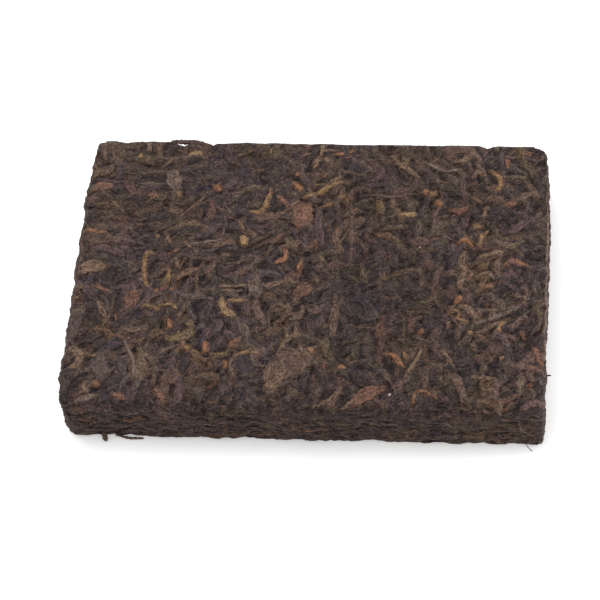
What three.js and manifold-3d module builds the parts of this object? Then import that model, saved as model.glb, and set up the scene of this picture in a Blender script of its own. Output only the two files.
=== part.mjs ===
// Pressed pu erh tea brick: one solid slab of compressed leaf, millimetres, +Z up.
// Long side along X, front wall at -Y, resting face at z = 0.
import * as THREE from "three";
import { mergeVertices } from "three/addons/utils/BufferGeometryUtils.js";
import Module from "manifold-3d";

const wasm = await Module();
wasm.setup();

// ---- driving dimensions -------------------------------------------------------------------
const LENGTH = 150;          // X, left edge to right edge
const DEPTH = 100;           // Y, front wall to back wall
const HEIGHT = 20;           // Z, highest leaf above the resting face
const LEAF_RISE = 0.8;       // how far pressed leaves stand above the core
const EDGE_ROUND = 1.6;      // rounding between the faces and the walls
const FRONT_WEAR = 0.9;      // extra wear along the upper front edge
const CELLS_X = 28;          // grid cells of the core along X
const CELLS_Y = 18;          // grid cells of the core along Y
const CELLS_Z = 3;           // grid cells of the core up the walls
const RELIEF = 0.32;         // height of the leaf-sized waves in the core
const SHIFT_X = 0.8;         // moves the uneven outline so that the origin is under its middle
const SHIFT_Y = -0.5;
const LOOSE_LEAVES = 26;     // leaves scattered over the top between the placed ones
const SEED = 7341;

// rounding of the four upright corners: side along X, side along Y, radius
const CORNERS = [[-1, -1, 2.6], [1, -1, 2.4], [1, 1, 5.0], [-1, 1, 2.8]];

// ---- seeded draws ---------------------------------------------------------------------------
let state = SEED;
function random() {
  state = (state + 0x6d2b79f5) | 0;
  let t = Math.imul(state ^ (state >>> 15), 1 | state);
  t = (t + Math.imul(t ^ (t >>> 7), 61 | t)) ^ t;
  return ((t ^ (t >>> 14)) >>> 0) / 4294967296;
}

function between(low, high) {
  return low + (high - low) * random();
}

// ---- uneven outline: [place along the side, swell outward, half width of the swell] ---------
const BACK_SWELLS = [[0, 0.6, 300], [-67, 0.7, 2], [-64.5, -1.0, 1.6], [-58.5, 0.7, 2],
  [-43, -2.4, 5], [-9, -0.3, 3], [6, -0.4, 5], [25, 0.4, 6], [54.5, -1.6, 2.6], [58, 0.5, 1.2],
  [66, 0.3, 3]];
const FRONT_SWELLS = [[-30, 0.5, 50], [-66, -0.3, 4], [-45, 0.3, 8], [-10, 0.3, 9], [30, 0.3, 6],
  [58, -0.3, 8]];
const LEFT_SWELLS = [[45, -0.4, 5], [-8, 1.2, 42], [28, 1.3, 5], [-33, 1.1, 5], [-40, 0.9, 5],
  [-49, -0.3, 3]];
const RIGHT_SWELLS = [[46, -0.6, 4], [22, 0.5, 9], [0, 0.5, 9], [-22, -0.1, 5], [-35, 0.5, 3],
  [-43, 0.2, 3]];

function swell(list, place) {
  return list.reduce((sum, [at, out, half]) => sum + out * Math.exp(-(((place - at) / half) ** 2)), 0);
}

// ---- dents worn into the walls and edges: [x, y, z, reach x, reach y, reach z] ---------------
const DENTS = [[-71, -51, 17, 3.4, 1.8, 4.2], [-58.5, -51, 20.5, 2.4, 1.6, 2.2],
  [-52, -51.2, 13, 2.4, 1.6, 1.3], [-68, -51, 8, 2.6, 1.4, 1.6], [-40, -51, 19.8, 4.5, 1.4, 1.8],
  [-22, -51, 19.9, 4, 1.2, 1.6], [5, -51.2, 20, 5, 1.3, 1.5], [62, -51, -0.4, 14, 1.6, 2.4],
  [-30, -51.2, -0.4, 9, 1.4, 1.4], [75.8, -20, 19.8, 1.3, 4, 1.4], [75.8, 34, 19.8, 1.3, 3.4, 1.6],
  [-76.6, 17, 19.8, 1.4, 3, 1.6]];

// ---- dark hollows between leaves on the top: [x, y, half length, half width, angle] ----------
const HOLLOWS = [[57.8, 34, 3.6, 0.9, 95], [3, 22, 3.4, 1.0, 80], [6.5, 17, 2.8, 0.9, 70],
  [-67.5, -2, 4.4, 0.8, 28], [-72.6, -33.5, 2.2, 2.0, 0], [-20, -46, 3.0, 1.4, 20],
  [-12, -44, 2.6, 1.0, 40], [57, -27.5, 2.6, 1.2, 60], [67.5, -27, 2.8, 1.2, 110],
  [44, -22, 2.6, 0.9, 100], [56, -35, 3.0, 1.0, 20], [-57, 7, 3.6, 0.9, 150],
  [2.5, -38, 4.4, 0.9, 65], [-24, 29, 3.4, 0.9, 60], [30, 16, 3.0, 1.1, 20],
  [24, -12, 3.2, 1.1, 130], [-40, -33, 3.2, 1.1, 60], [-35, -3, 2.8, 0.9, 20],
  [38, 6, 3.2, 1.0, 100], [62, 22, 2.6, 0.9, 20]];

// ---- leaves with a place of their own: width, then points along the leaf ---------------------
const STRANDS = [
  [1.6, -57, 50, -57, 45],
  [1.6, -43.8, 45.3, -38.8, 46.5],
  [2.0, -34.5, 33.8, -31.5, 31.5],
  [1.7, -74.3, 14, -73, 15.3, -70, 14.3, -67, 14.4],
  [1.5, -57, 8.3, -54.5, 8.8, -50.5, 12],
  [1.4, -51, 6, -53.6, 6.4, -54, 1, -51.8, -7],
  [1.5, 0.5, 49, 0.5, 46, -1.8, 40.5],
  [1.6, -5, 29.2, 0, 31.2, 8.5, 36],
  [1.3, -5.5, 28.5, -9.5, 24, -13.5, 22.7],
  [1.8, -15.3, 33, -15.8, 28, -17.8, 23.3, -21.8, 23.3],
  [1.8, -13, 29.5, -8.8, 25.6],
  [1.9, -8.5, 35.5, -4.5, 31.5],
  [1.6, 11.5, 27.5, 12.2, 17, 12.6, 5],
  [2.3, -23.5, 14, -21.5, 10.6],
  [1.8, -3, 4.8, -4.3, 0.8],
  [2.0, 24, 45.5, 25.5, 43.5, 33.5, 37.3],
  [1.7, 56, 41.3, 59.5, 37.5, 58.5, 32.5],
  [1.8, 50.5, 38, 52, 40.5, 55, 38.5],
  [1.8, 47.5, 38.5, 47.3, 34, 49.5, 26.5],
  [2.1, 34.5, 32, 37.5, 32, 40.5, 27.3],
  [1.8, 27, 23, 33, 23],
  [1.6, 45.5, 12, 48.5, 13.6, 51.5, 11.6],
  [1.6, 52.6, 11.6, 53.8, 15, 56.3, 17.8],
  [1.9, 48.8, 9.5, 47.8, 6, 48.8, 1, 47.5, -4],
  [1.7, 53, 6.5, 55, 8, 61, 9.2],
  [2.0, 57, 14, 63, 11.5, 67, 13.8],
  [1.4, 64, 6, 69.5, 3.8],
  [2.1, 61, 27, 64, 28.5, 69, 32, 73, 31],
  [1.7, -67, -12, -64, -18.5],
  [1.6, -53.5, -14.5, -52, -13.3, -48, -14.5],
  [1.5, -48, -13.3, -44, -12.7, -41.5, -14.5],
  [1.5, -45.5, 1, -45.8, -5],
  [2.0, -27.5, -10, -27.3, -14, -20.5, -17],
  [1.8, -76, -31.5, -73.6, -29.6, -70, -31, -69.4, -35, -72, -37.6],
  [2.5, -58.5, -33, -55.5, -39.5],
  [1.5, -57.5, -26, -53.5, -34.5, -53, -40],
  [2.0, -64.5, -42.3, -61.5, -42.6],
  [1.9, -72, -49.6, -68, -47.2, -63, -46],
  [2.0, -31.5, -26, -31, -30.5],
  [1.6, -1, -13.5, 7, -9, 16, -3],
  [1.8, -10, -11.5, -6, -13.5, -6.5, -15.5],
  [3.0, 8.5, -8, 8.5, -20, 8, -24],
  [1.7, -22, -31, -23, -35, -21, -39.5],
  [1.6, -22, -31, -18, -29.5, -14, -30.5],
  [1.5, 10.5, -34.7, 14, -34.7],
  [1.3, 3, -48.5, 7, -47, 10, -44.5, 12.5, -41],
  [1.8, 25.3, -29.3, 28, -29.8, 31.5, -34.5],
  [1.4, 35.8, -26, 36, -29, 31.5, -38.5],
  [1.4, 34.3, -47, 35.6, -42.3, 40, -43.3],
  [2.4, 46, -35.6, 48.5, -39.5, 50.5, -46],
  [1.6, 52, -18, 60, -14.5, 67, -10.5],
  [1.6, 53, -21, 60, -17.6, 64, -15.8],
  [2.0, 44.5, -13, 46.5, -10.5, 48, -7.5],
  [1.8, 53.5, -3, 54.4, 0.8, 57.6, 0.4, 58.5, -2.5],
  [1.7, 67, -20, 69, -26, 73, -33],
  [1.6, 55.5, -47, 57, -49.4, 60, -49.4, 61.5, -46],
];

// ---- open flat leaves: [x, y, length, width, angle] ------------------------------------------
const FLAT_LEAVES = [[-46.8, 35, 10, 5.5, 110], [-70, 32, 7, 4, 20], [-69, 11.5, 9, 5, 0],
  [-3.7, 22.5, 10, 7, 90], [-16, 20.5, 10, 3.4, 8], [45.5, 47, 11, 4.2, 0], [34.5, 12.5, 6, 3.6, 0],
  [-70, 0.5, 9, 5, 20], [-73, -22, 11, 5.5, 85], [-63, -36, 10, 5.5, 110], [-51.5, -37, 8, 5, 80],
  [-17, -5.5, 8, 4.8, 105], [-2, -7, 6.5, 5, 30], [-4.5, -35, 17, 11, 50], [-18.5, -35, 7, 7, 0],
  [20.8, -44.3, 11, 4.2, 33], [60, -27, 6, 4.6, 100], [-56, -11, 7, 4.6, 90], [64.3, -33, 8, 4, 95],
  [-6.8, 11.2, 6, 3.4, 120]];

// ---- stem that loops out past the back edge ---------------------------------------------------
const LOOP_WIDTH = 1.5;
const LOOP = [[-51.5, 50.0], [-49.5, 51.0], [-45, 50.9], [-41, 50.4], [-37, 48.9], [-33.5, 47.6]];
const LOOP_PROP = [[-43.2, 50.4], [-43.2, 46.6]];

const UP = new THREE.Vector3(0, 0, 1);

function solid(geometry) {
  geometry.deleteAttribute("normal");
  geometry.deleteAttribute("uv");
  const welded = mergeVertices(geometry, 1e-5);
  const mesh = new wasm.Mesh({
    numProp: 3,
    vertProperties: new Float32Array(welded.attributes.position.array),
    triVerts: new Uint32Array(welded.index.array),
  });
  return new wasm.Manifold(mesh);
}

// Waves about as wide as a leaf, lying at several angles.
function waves(x, y) {
  const a = Math.sin(x * 0.52 + 1.4 * Math.sin(y * 0.23));
  const b = Math.sin(y * 0.61 - x * 0.21 + 0.8);
  const c = Math.sin(x * 0.33 + y * 0.37 + 2.1);
  return (a + b + c) / 3;
}

// Even grid place (-1 to 1) moved so that the outermost cell is as wide as the edge rounding.
function spread(u, half, cells) {
  const inner = 1 - 2 / cells;
  const size = half - EDGE_ROUND;
  if (Math.abs(u) <= inner + 1e-6) {
    return (u / inner) * size;
  }
  return Math.sign(u) * half;
}

function roundedPlan(x, y, halfX, halfY) {
  const round = CORNERS.find(([sideX, sideY]) => sideX * x >= 0 && sideY * y >= 0)[2];
  const cx = THREE.MathUtils.clamp(x, -halfX + round, halfX - round);
  const cy = THREE.MathUtils.clamp(y, -halfY + round, halfY - round);
  const dx = x - cx;
  const dy = y - cy;
  const reach = Math.hypot(dx, dy);
  const limit = Math.max(Math.abs(dx), Math.abs(dy));
  const scale = reach > 1e-9 ? limit / reach : 1;
  return [cx + dx * scale, cy + dy * scale];
}

// The core: a segmented box with rounded edges, the uneven outline and leaf-sized waves.
function core() {
  const halfX = LENGTH / 2 - 0.3;
  const halfY = DEPTH / 2 - 0.3;
  const top = HEIGHT - LEAF_RISE;
  const box = new THREE.BoxGeometry(2, 2, 2, CELLS_X, CELLS_Y, CELLS_Z);
  const place = box.attributes.position;
  for (let i = 0; i < place.count; i += 1) {
    const u = place.getX(i);
    const v = place.getY(i);
    const w = place.getZ(i);
    let x = spread(u, halfX, CELLS_X);
    let y = spread(v, halfY, CELLS_Y);
    let z = top / 2 + (Math.abs(w) > 0.99 ? Math.sign(w) * (top / 2) : w * 2 * (top / 2 - EDGE_ROUND));
    const onSideX = Math.abs(u) > 0.999;
    const onSideY = Math.abs(v) > 0.999;
    const onFace = Math.abs(w) > 0.999;
    if (onFace && (onSideX || onSideY)) {
      z -= Math.sign(w) * EDGE_ROUND * 0.3;
      x -= onSideX ? Math.sign(u) * EDGE_ROUND * 0.3 : 0;
      y -= onSideY ? Math.sign(v) * EDGE_ROUND * 0.3 : 0;
    }
    if (w > 0.99 && v < -0.999) {
      z -= FRONT_WEAR;
      y += FRONT_WEAR * 0.6;
    }
    [x, y] = roundedPlan(x, y, halfX, halfY);
    const pull = (n) => THREE.MathUtils.smoothstep(n, 0.55, 1);
    const sideX = x > 0 ? swell(RIGHT_SWELLS, y) : -swell(LEFT_SWELLS, y);
    const sideY = y > 0 ? swell(BACK_SWELLS, x) : -swell(FRONT_SWELLS, x);
    const wall = 0.3 * Math.sin(x * 0.45 + z * 1.1) * Math.sin(y * 0.4 + z * 0.9 + 1);
    const sx = pull(Math.abs(x) / halfX);
    const sy = pull(Math.abs(y) / halfY);
    if (w > 0.99) {
      z += RELIEF * waves(x, y);
    } else if (w > -0.99) {
      x += onSideX ? wall : 0;
      y += onSideY ? wall : 0;
    }
    place.setXYZ(i, x + sideX * sx, y + sideY * sy, z);
  }
  return solid(box);
}

// A leaf rolled into a flattened strand along a curve; "up" is the side it is pressed from.
function strand(curve, width, thick, up, steps, sides) {
  const body = new THREE.CylinderGeometry(1, 1, 1, sides, steps);
  const place = body.attributes.position;
  const side = new THREE.Vector3();
  const point = new THREE.Vector3();
  for (let i = 0; i < place.count; i += 1) {
    const along = 0.5 - place.getY(i);
    const taper = 0.4 + 0.6 * Math.sqrt(Math.sin(Math.PI * THREE.MathUtils.clamp(along, 0, 1)));
    const tangent = curve.getTangent(along).negate();
    side.crossVectors(tangent, up).normalize();
    point.copy(curve.getPoint(along));
    point.addScaledVector(side, place.getX(i) * width * 0.5 * taper);
    point.addScaledVector(up, place.getZ(i) * thick * 0.5 * taper);
    place.setXYZ(i, point.x, point.y, point.z);
  }
  return solid(body);
}

function curveOnTop(points, z) {
  const stops = points.map(([x, y]) => new THREE.Vector3(x, y, z));
  return new THREE.CatmullRomCurve3(stops, false, "centripetal");
}

function pairs(numbers) {
  const out = [];
  for (let i = 0; i < numbers.length; i += 2) {
    out.push([numbers[i], numbers[i + 1]]);
  }
  return out;
}

function reach(points) {
  const step = ([x, y], i) => Math.hypot(x - points[i][0], y - points[i][1]);
  return points.slice(1).reduce((sum, point, i) => sum + step(point, i), 0);
}

// An open leaf pressed flat: a low dome on an oval with pointed ends.
function flatLeaf([x, y, length, width, angle], top) {
  const dome = new THREE.SphereGeometry(1, 8, 5);
  dome.rotateX(Math.PI / 2);
  const place = dome.attributes.position;
  for (let i = 0; i < place.count; i += 1) {
    const u = place.getX(i);
    const narrowing = 1 - 0.35 * u * u;
    place.setXYZ(i, (u * length) / 2, (place.getY(i) * narrowing * width) / 2, place.getZ(i) * 0.75);
  }
  dome.rotateZ(THREE.MathUtils.degToRad(angle));
  dome.translate(x, y, top - 0.75);
  return solid(dome);
}

function hollow([x, y, halfLength, halfWidth, angle]) {
  const pit = new THREE.SphereGeometry(1, 7, 4);
  pit.rotateX(Math.PI / 2);
  pit.scale(halfLength, halfWidth, 1.5);
  pit.rotateZ(THREE.MathUtils.degToRad(angle));
  pit.translate(x, y, HEIGHT - 0.5);
  return solid(pit);
}

function dent([x, y, z, rx, ry, rz]) {
  const pit = new THREE.SphereGeometry(1, 8, 5);
  pit.scale(rx, ry, rz);
  pit.translate(x, y, z);
  return solid(pit);
}

// Leaves scattered between the placed ones: longest first, each kept clear of the rest.
function looseLeaves(taken) {
  const found = [];
  for (let n = 0; n < LOOSE_LEAVES; n += 1) {
    const share = n / LOOSE_LEAVES;
    const length = 15 - 8 * share;
    const width = 2.9 - 1.0 * share + between(-0.3, 0.3);
    let best = null;
    for (let tries = 0; tries < 40; tries += 1) {
      const angle = between(0, Math.PI * 2);
      const bend = between(-1.1, 1.1);
      const points = [[between(-68, 68), between(-44, 44)]];
      for (let k = 1; k <= 3; k += 1) {
        const turn = angle + bend * (k / 3);
        const [px, py] = points[k - 1];
        points.push([px + Math.cos(turn) * length / 3, py + Math.sin(turn) * length / 3]);
      }
      const inside = points.every(([x, y]) => Math.abs(x) < 74 && Math.abs(y) < 49);
      const gaps = points.flatMap(([x, y]) => taken.map(([tx, ty]) => Math.hypot(x - tx, y - ty)));
      const clear = Math.min(...gaps);
      if (inside && (best === null || clear > best.clear)) {
        best = { clear, points, width };
      }
    }
    found.push(best);
    taken.push(...best.points);
  }
  return found;
}

// Thin layers of leaf seen edge-on along a wall; "at" turns a place along the wall into x and y.
function layers(halfLength, rows, perRow, at, outward) {
  const found = [];
  for (let row = 0; row < rows; row += 1) {
    for (let n = 0; n < perRow; n += 1) {
      const length = between(9, 20);
      const middle = -halfLength + (2 * halfLength * (n + between(0.25, 0.75))) / perRow;
      const z = 2.6 + (row + between(0.2, 0.8)) * ((HEIGHT - 4.6) / rows);
      const stops = [-0.5, 0, 0.5].map((k) => {
        const [x, y] = at(THREE.MathUtils.clamp(middle + k * length, -halfLength, halfLength));
        return new THREE.Vector3(x, y, z + between(-0.5, 0.5));
      });
      found.push(strand(new THREE.CatmullRomCurve3(stops), between(1.3, 2.2), 1.3, outward, 2, 4));
    }
  }
  return found;
}

const pieces = [core()];
const taken = [];
const pressed = HEIGHT;

FLAT_LEAVES.forEach((leaf, n) => {
  pieces.push(flatLeaf(leaf, pressed - 0.12 * (n % 3)));
  taken.push([leaf[0], leaf[1]]);
});

STRANDS.forEach(([width, ...numbers], n) => {
  const points = pairs(numbers);
  const length = reach(points);
  const steps = THREE.MathUtils.clamp(Math.round(length / 4.8), 2, 5);
  const thick = Math.max(1.3, width * 0.75);
  const z = pressed - 0.08 * (n % 3) - thick / 2;
  pieces.push(strand(curveOnTop(points, z), width, thick, UP, steps, 6));
  taken.push(...points);
});

looseLeaves(taken).forEach(({ points, width }, n) => {
  const z = pressed - 0.1 - 0.1 * (n % 3) - 0.75;
  pieces.push(strand(curveOnTop(points, z), width, 1.5, UP, 3, 4));
});

pieces.push(strand(curveOnTop(LOOP, 17.9), LOOP_WIDTH, LOOP_WIDTH, UP, 7, 6));
pieces.push(strand(curveOnTop(LOOP_PROP, 17.9), 1.9, 1.4, UP, 2, 6));

const FRONT = new THREE.Vector3(0, -1, 0);
const BACK = new THREE.Vector3(0, 1, 0);
const LEFT = new THREE.Vector3(-1, 0, 0);
const RIGHT = new THREE.Vector3(1, 0, 0);
const frontY = (x) => -DEPTH / 2 - swell(FRONT_SWELLS, x) + 0.35;
const backY = (x) => DEPTH / 2 + swell(BACK_SWELLS, x) - 0.35;
const leftX = (y) => -LENGTH / 2 - swell(LEFT_SWELLS, y) + 0.35;
const rightX = (y) => LENGTH / 2 + swell(RIGHT_SWELLS, y) - 0.35;
pieces.push(...layers(LENGTH / 2 - 5, 3, 6, (x) => [x, frontY(x)], FRONT));
pieces.push(...layers(LENGTH / 2 - 5, 2, 5, (x) => [x, backY(x)], BACK));
pieces.push(...layers(DEPTH / 2 - 5, 2, 3, (y) => [leftX(y), y], LEFT));
pieces.push(...layers(DEPTH / 2 - 5, 2, 3, (y) => [rightX(y), y], RIGHT));

// The press: everything above the top plate and below the bottom plate is cut away.
const press = new THREE.BoxGeometry(LENGTH + 8, DEPTH + 8, HEIGHT);
press.translate(0, 0, HEIGHT / 2);

const pits = [...HOLLOWS.map(hollow), ...DENTS.map(dent)];
const result = wasm.Manifold.union(pieces)
  .subtract(wasm.Manifold.union(pits))
  .intersect(solid(press))
  .getMesh();
const surface = new THREE.BufferGeometry();
surface.setAttribute("position", new THREE.BufferAttribute(new Float32Array(result.vertProperties), 3));
surface.setIndex(new THREE.BufferAttribute(new Uint32Array(result.triVerts), 1));
surface.translate(SHIFT_X, SHIFT_Y, 0);
surface.computeVertexNormals();

const leafMaterial = new THREE.MeshStandardMaterial({ color: 0x4f413b, roughness: 0.85, metalness: 0 });
leafMaterial.name = "pressed_leaf";
leafMaterial.flatShading = true;

const brick = new THREE.Mesh(surface, leafMaterial);
brick.name = "tea_brick";

const teaBrick = new THREE.Group();
teaBrick.name = "pu_erh_tea_brick";
teaBrick.add(brick);

export default teaBrick;
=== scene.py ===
"""Pressed pu erh tea brick: its leaves are laid down one by one and pressed into a flat slab."""

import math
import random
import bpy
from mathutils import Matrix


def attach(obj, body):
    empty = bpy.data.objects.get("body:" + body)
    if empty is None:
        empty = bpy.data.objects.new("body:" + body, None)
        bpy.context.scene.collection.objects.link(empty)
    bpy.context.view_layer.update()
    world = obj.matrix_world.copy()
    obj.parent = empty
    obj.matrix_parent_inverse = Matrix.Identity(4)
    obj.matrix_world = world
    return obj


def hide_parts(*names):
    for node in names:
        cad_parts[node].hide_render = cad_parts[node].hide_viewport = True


bl_info = {
    "name": "Pressed Tea Brick",
    "version": (1, 0, 0),
    "blender": (4, 5, 0),
    "location": "View3D > Sidebar > Tea Brick",
    "description": "Builds a slab of pressed tea leaves, its stems and buds, and a pale table",
    "category": "Add Mesh",
}

import bpy
import numpy as np
from mathutils import Matrix, Vector

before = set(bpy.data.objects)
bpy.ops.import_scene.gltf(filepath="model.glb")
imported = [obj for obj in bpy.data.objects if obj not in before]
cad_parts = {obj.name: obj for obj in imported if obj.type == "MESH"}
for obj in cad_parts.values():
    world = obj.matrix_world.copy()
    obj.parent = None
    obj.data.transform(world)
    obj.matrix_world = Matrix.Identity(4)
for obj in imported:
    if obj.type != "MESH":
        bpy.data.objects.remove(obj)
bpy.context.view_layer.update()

# ---- the brick, in millimetres --------------------------------------------------------------
LENGTH = 150.0
DEPTH = 100.0
HEIGHT = 20.0
EDGE = 1.1                      # rounding between the faces and the walls
INNER_X = LENGTH / 2 - EDGE
INNER_Y = DEPTH / 2 - EDGE
INNER_Z = HEIGHT / 2 - EDGE
ARC = EDGE * math.pi / 2
SHIFT = (0.8, -0.5)             # puts the origin under the middle of the uneven outline
MM = 0.001
CELL = 0.25                     # grid step of the beds that the leaves are pressed into
SEED = 4127
FULL_TURN = 6.28
FLOOR_GAP = 0.02                # the lowest leaves stay this far above the floor
BED_MARGIN = 8.0                # a bed runs this far past its face, to hang over the edge
BURIED = {"top": 2600, "wall": 1500, "under": 1200}
ROD_PAINTED_SHADE_OPENNESS = 0.8              # loose rods lie in the open, so the painted shade darkens them only a little
CORE_SINK = 0.15                # the core lies this far below the leaves pressed into it
FLAT_THICKNESS = 0.8            # of open and crushed leaves; rolled ones grow with their width
MOST_THICKNESS = 1.1

# how high leaves may stand over the ideal face: buried ones first, then each layer over the last
TOP_CEILINGS = {"buried": -0.2, "leaves": 0.25, "strands": 0.45, "placed": 0.8}
WALL_CEILINGS = {"buried": -0.1, "leaves": 0.3}
UNDER_CEILINGS = {"buried": -0.4, "leaves": 0.0}

# uneven outline: (place along the side, swell outward, half width of the swell)
BACK_SWELLS = [
    (0, 2.35, 300), (-70.5, 0.8, 4), (-64.8, -1.7, 1.6), (-57, 0.8, 3), (-46, -2.6, 2.8),
    (-37, -2.9, 4.5), (-23.5, 0.4, 3), (-9, -0.4, 3), (6, -0.5, 5), (26, 0.5, 6), (45, 0.5, 6),
    (54.8, -2.2, 2.2), (58.5, 0.5, 1.2), (66, 0.5, 5),
]
FRONT_SWELLS = [
    (-30, 1.0, 55), (-71, 0.8, 5), (-45, 0.3, 8), (-26, 0.4, 5), (5, 0.7, 12), (40, 0.8, 12),
    (58, 0.3, 8),
]
LEFT_SWELLS = [
    (45, -0.4, 5), (-8, 1.8, 55), (28, 1.1, 5), (-33, 0.9, 5), (-40, 0.7, 5),
]
RIGHT_SWELLS = [
    (0, 0.3, 90), (46, -0.6, 4), (22, 0.4, 9), (0, 0.4, 9), (-22, -0.2, 5), (-35, 0.5, 3),
    (-43, -0.1, 3),
]

# how far the upright corners and the long edges are rounded off by handling
CORNERS = [(-1, -1, 1.9), (1, -1, 2.4), (1, 1, 4.9), (-1, 1, 2.8)]
TOP_WEAR = 0.7
BACK_WEAR = 0.35
FRONT_WEAR = 2.8
FOOT_WEAR = 0.5
SWELL_FROM = 0.75               # share of the half side past which the outline is pulled
COARSE_RAG = 0.9                # raggedness of the walls, in broad and in fine bumps
FINE_RAG = 0.5
CORNER_GIVE = 0.2               # share of a corner past its round that is left standing

# dents worn into walls and edges: centre, then reach along x, y and z
DENTS = [
    (-71, -51, 17, 3.0, 1.4, 4.0), (-58.5, -51, 20.5, 2.4, 1.6, 2.2), (-52, -51.2, 13, 2.4, 1.6, 1.3),
    (-68, -51, 8, 2.6, 1.4, 1.6), (-40, -51, 19.8, 4.5, 1.4, 1.8), (-22, -51, 19.9, 4, 1.2, 1.6),
    (5, -51.2, 20, 5, 1.3, 1.5), (64, -51, -0.4, 10, 1.2, 1.8), (-30, -51.2, -0.4, 9, 1.4, 1.4),
    (75.8, -20, 19.8, 1.3, 4, 1.4), (75.8, 34, 19.8, 1.3, 3.4, 1.6), (-76.6, 17, 19.8, 1.4, 3, 1.6),
]

# dark hollows between leaves: x, y, half length, half width, angle
HOLLOWS = [
    (57.8, 34, 3.4, 0.8, 95), (3, 22, 3.4, 0.9, 80), (6.5, 17, 2.8, 0.8, 70), (-67.5, -2, 4.4, 0.7, 28),
    (-72.6, -33.5, 2.0, 1.8, 0), (-20, -46, 3.0, 1.2, 20), (-12, -44, 2.6, 0.9, 40),
    (57, -27.5, 2.6, 1.0, 60), (67.5, -27, 2.6, 1.0, 110), (44, -22, 2.6, 0.8, 100),
    (56, -35, 3.0, 0.9, 20), (-57, 7, 3.6, 0.7, 150), (2.5, -38, 4.4, 0.8, 65), (-24, 29, 3.2, 0.8, 60),
    (30, 16, 3.0, 0.9, 20), (24, -12, 3.0, 0.9, 130), (-40, -33, 3.0, 0.9, 60), (-35, -3, 2.8, 0.7, 20),
    (38, 6, 3.0, 0.9, 100), (62, 22, 2.6, 0.8, 20), (-71.5, -42, 2.0, 1.0, 60),
    (-67, -48.2, 2.6, 1.0, 10), (-60.5, -47.6, 2.0, 0.9, 160), (-51, -48.6, 2.6, 1.1, 10),
    (-45.5, -45.5, 2.0, 0.8, 70), (-35, -48.2, 2.4, 0.9, 175), (-29, -44, 2.2, 0.8, 40),
    (0, -47.8, 2.8, 0.9, 5), (14.5, -44.5, 2.2, 0.8, 120), (27, -47.6, 2.4, 0.9, 10),
    (43.5, -47.5, 2.2, 0.9, 150), (52.5, -48.2, 2.0, 0.9, 20), (66, -46.5, 2.4, 0.9, 35),
    (72, -41, 2.0, 0.8, 80),
]

# flat, finely broken places, where few whole strands lie: x, y, reach
CALM = [
    (-47, 31, 27), (-14, 43, 13), (26, 6, 15), (26, -16, 16), (10, -37, 14), (32, -35, 12), (27, 32, 9),
]

# darker and lighter places: x, y, reach, share of the tone lost or gained
# mostly the leaves' own tone; the dark place at the front left corner is painted shadow
SHADES = [
    (22, -4, 17, -0.22), (24, -24, 15, -0.20), (12, -42, 16, -0.24), (34, 24, 18, -0.08),
    (-8, 42, 16, -0.10), (-50, 30, 24, -0.06), (-54, -14, 17, 0.05), (-46, -32, 14, 0.04),
    (58, -14, 11, 0.30), (52, 10, 10, 0.10), (-73, 8, 8, 0.16), (73, 32, 8, 0.14), (-71, -41, 9, -0.38),
    (-6, -6, 9, 0.10), (73, -44, 6, 0.20),
]

# tones of single leaves as they look in plain light (red, green, blue of 255)
TONES = {
    "black": (52, 44, 43), "dark": (61, 52, 50), "slate": (66, 58, 58), "umber": (74, 61, 55),
    "grey": (82, 71, 65), "brown": (85, 69, 60), "bark": (94, 77, 65), "olive": (93, 80, 66),
    "red": (110, 83, 67), "tan": (105, 88, 71), "pale": (101, 88, 77), "orange": (124, 91, 65),
    "gold": (123, 100, 71), "bright": (139, 115, 83), "speck": (190, 182, 178),
}

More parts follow.
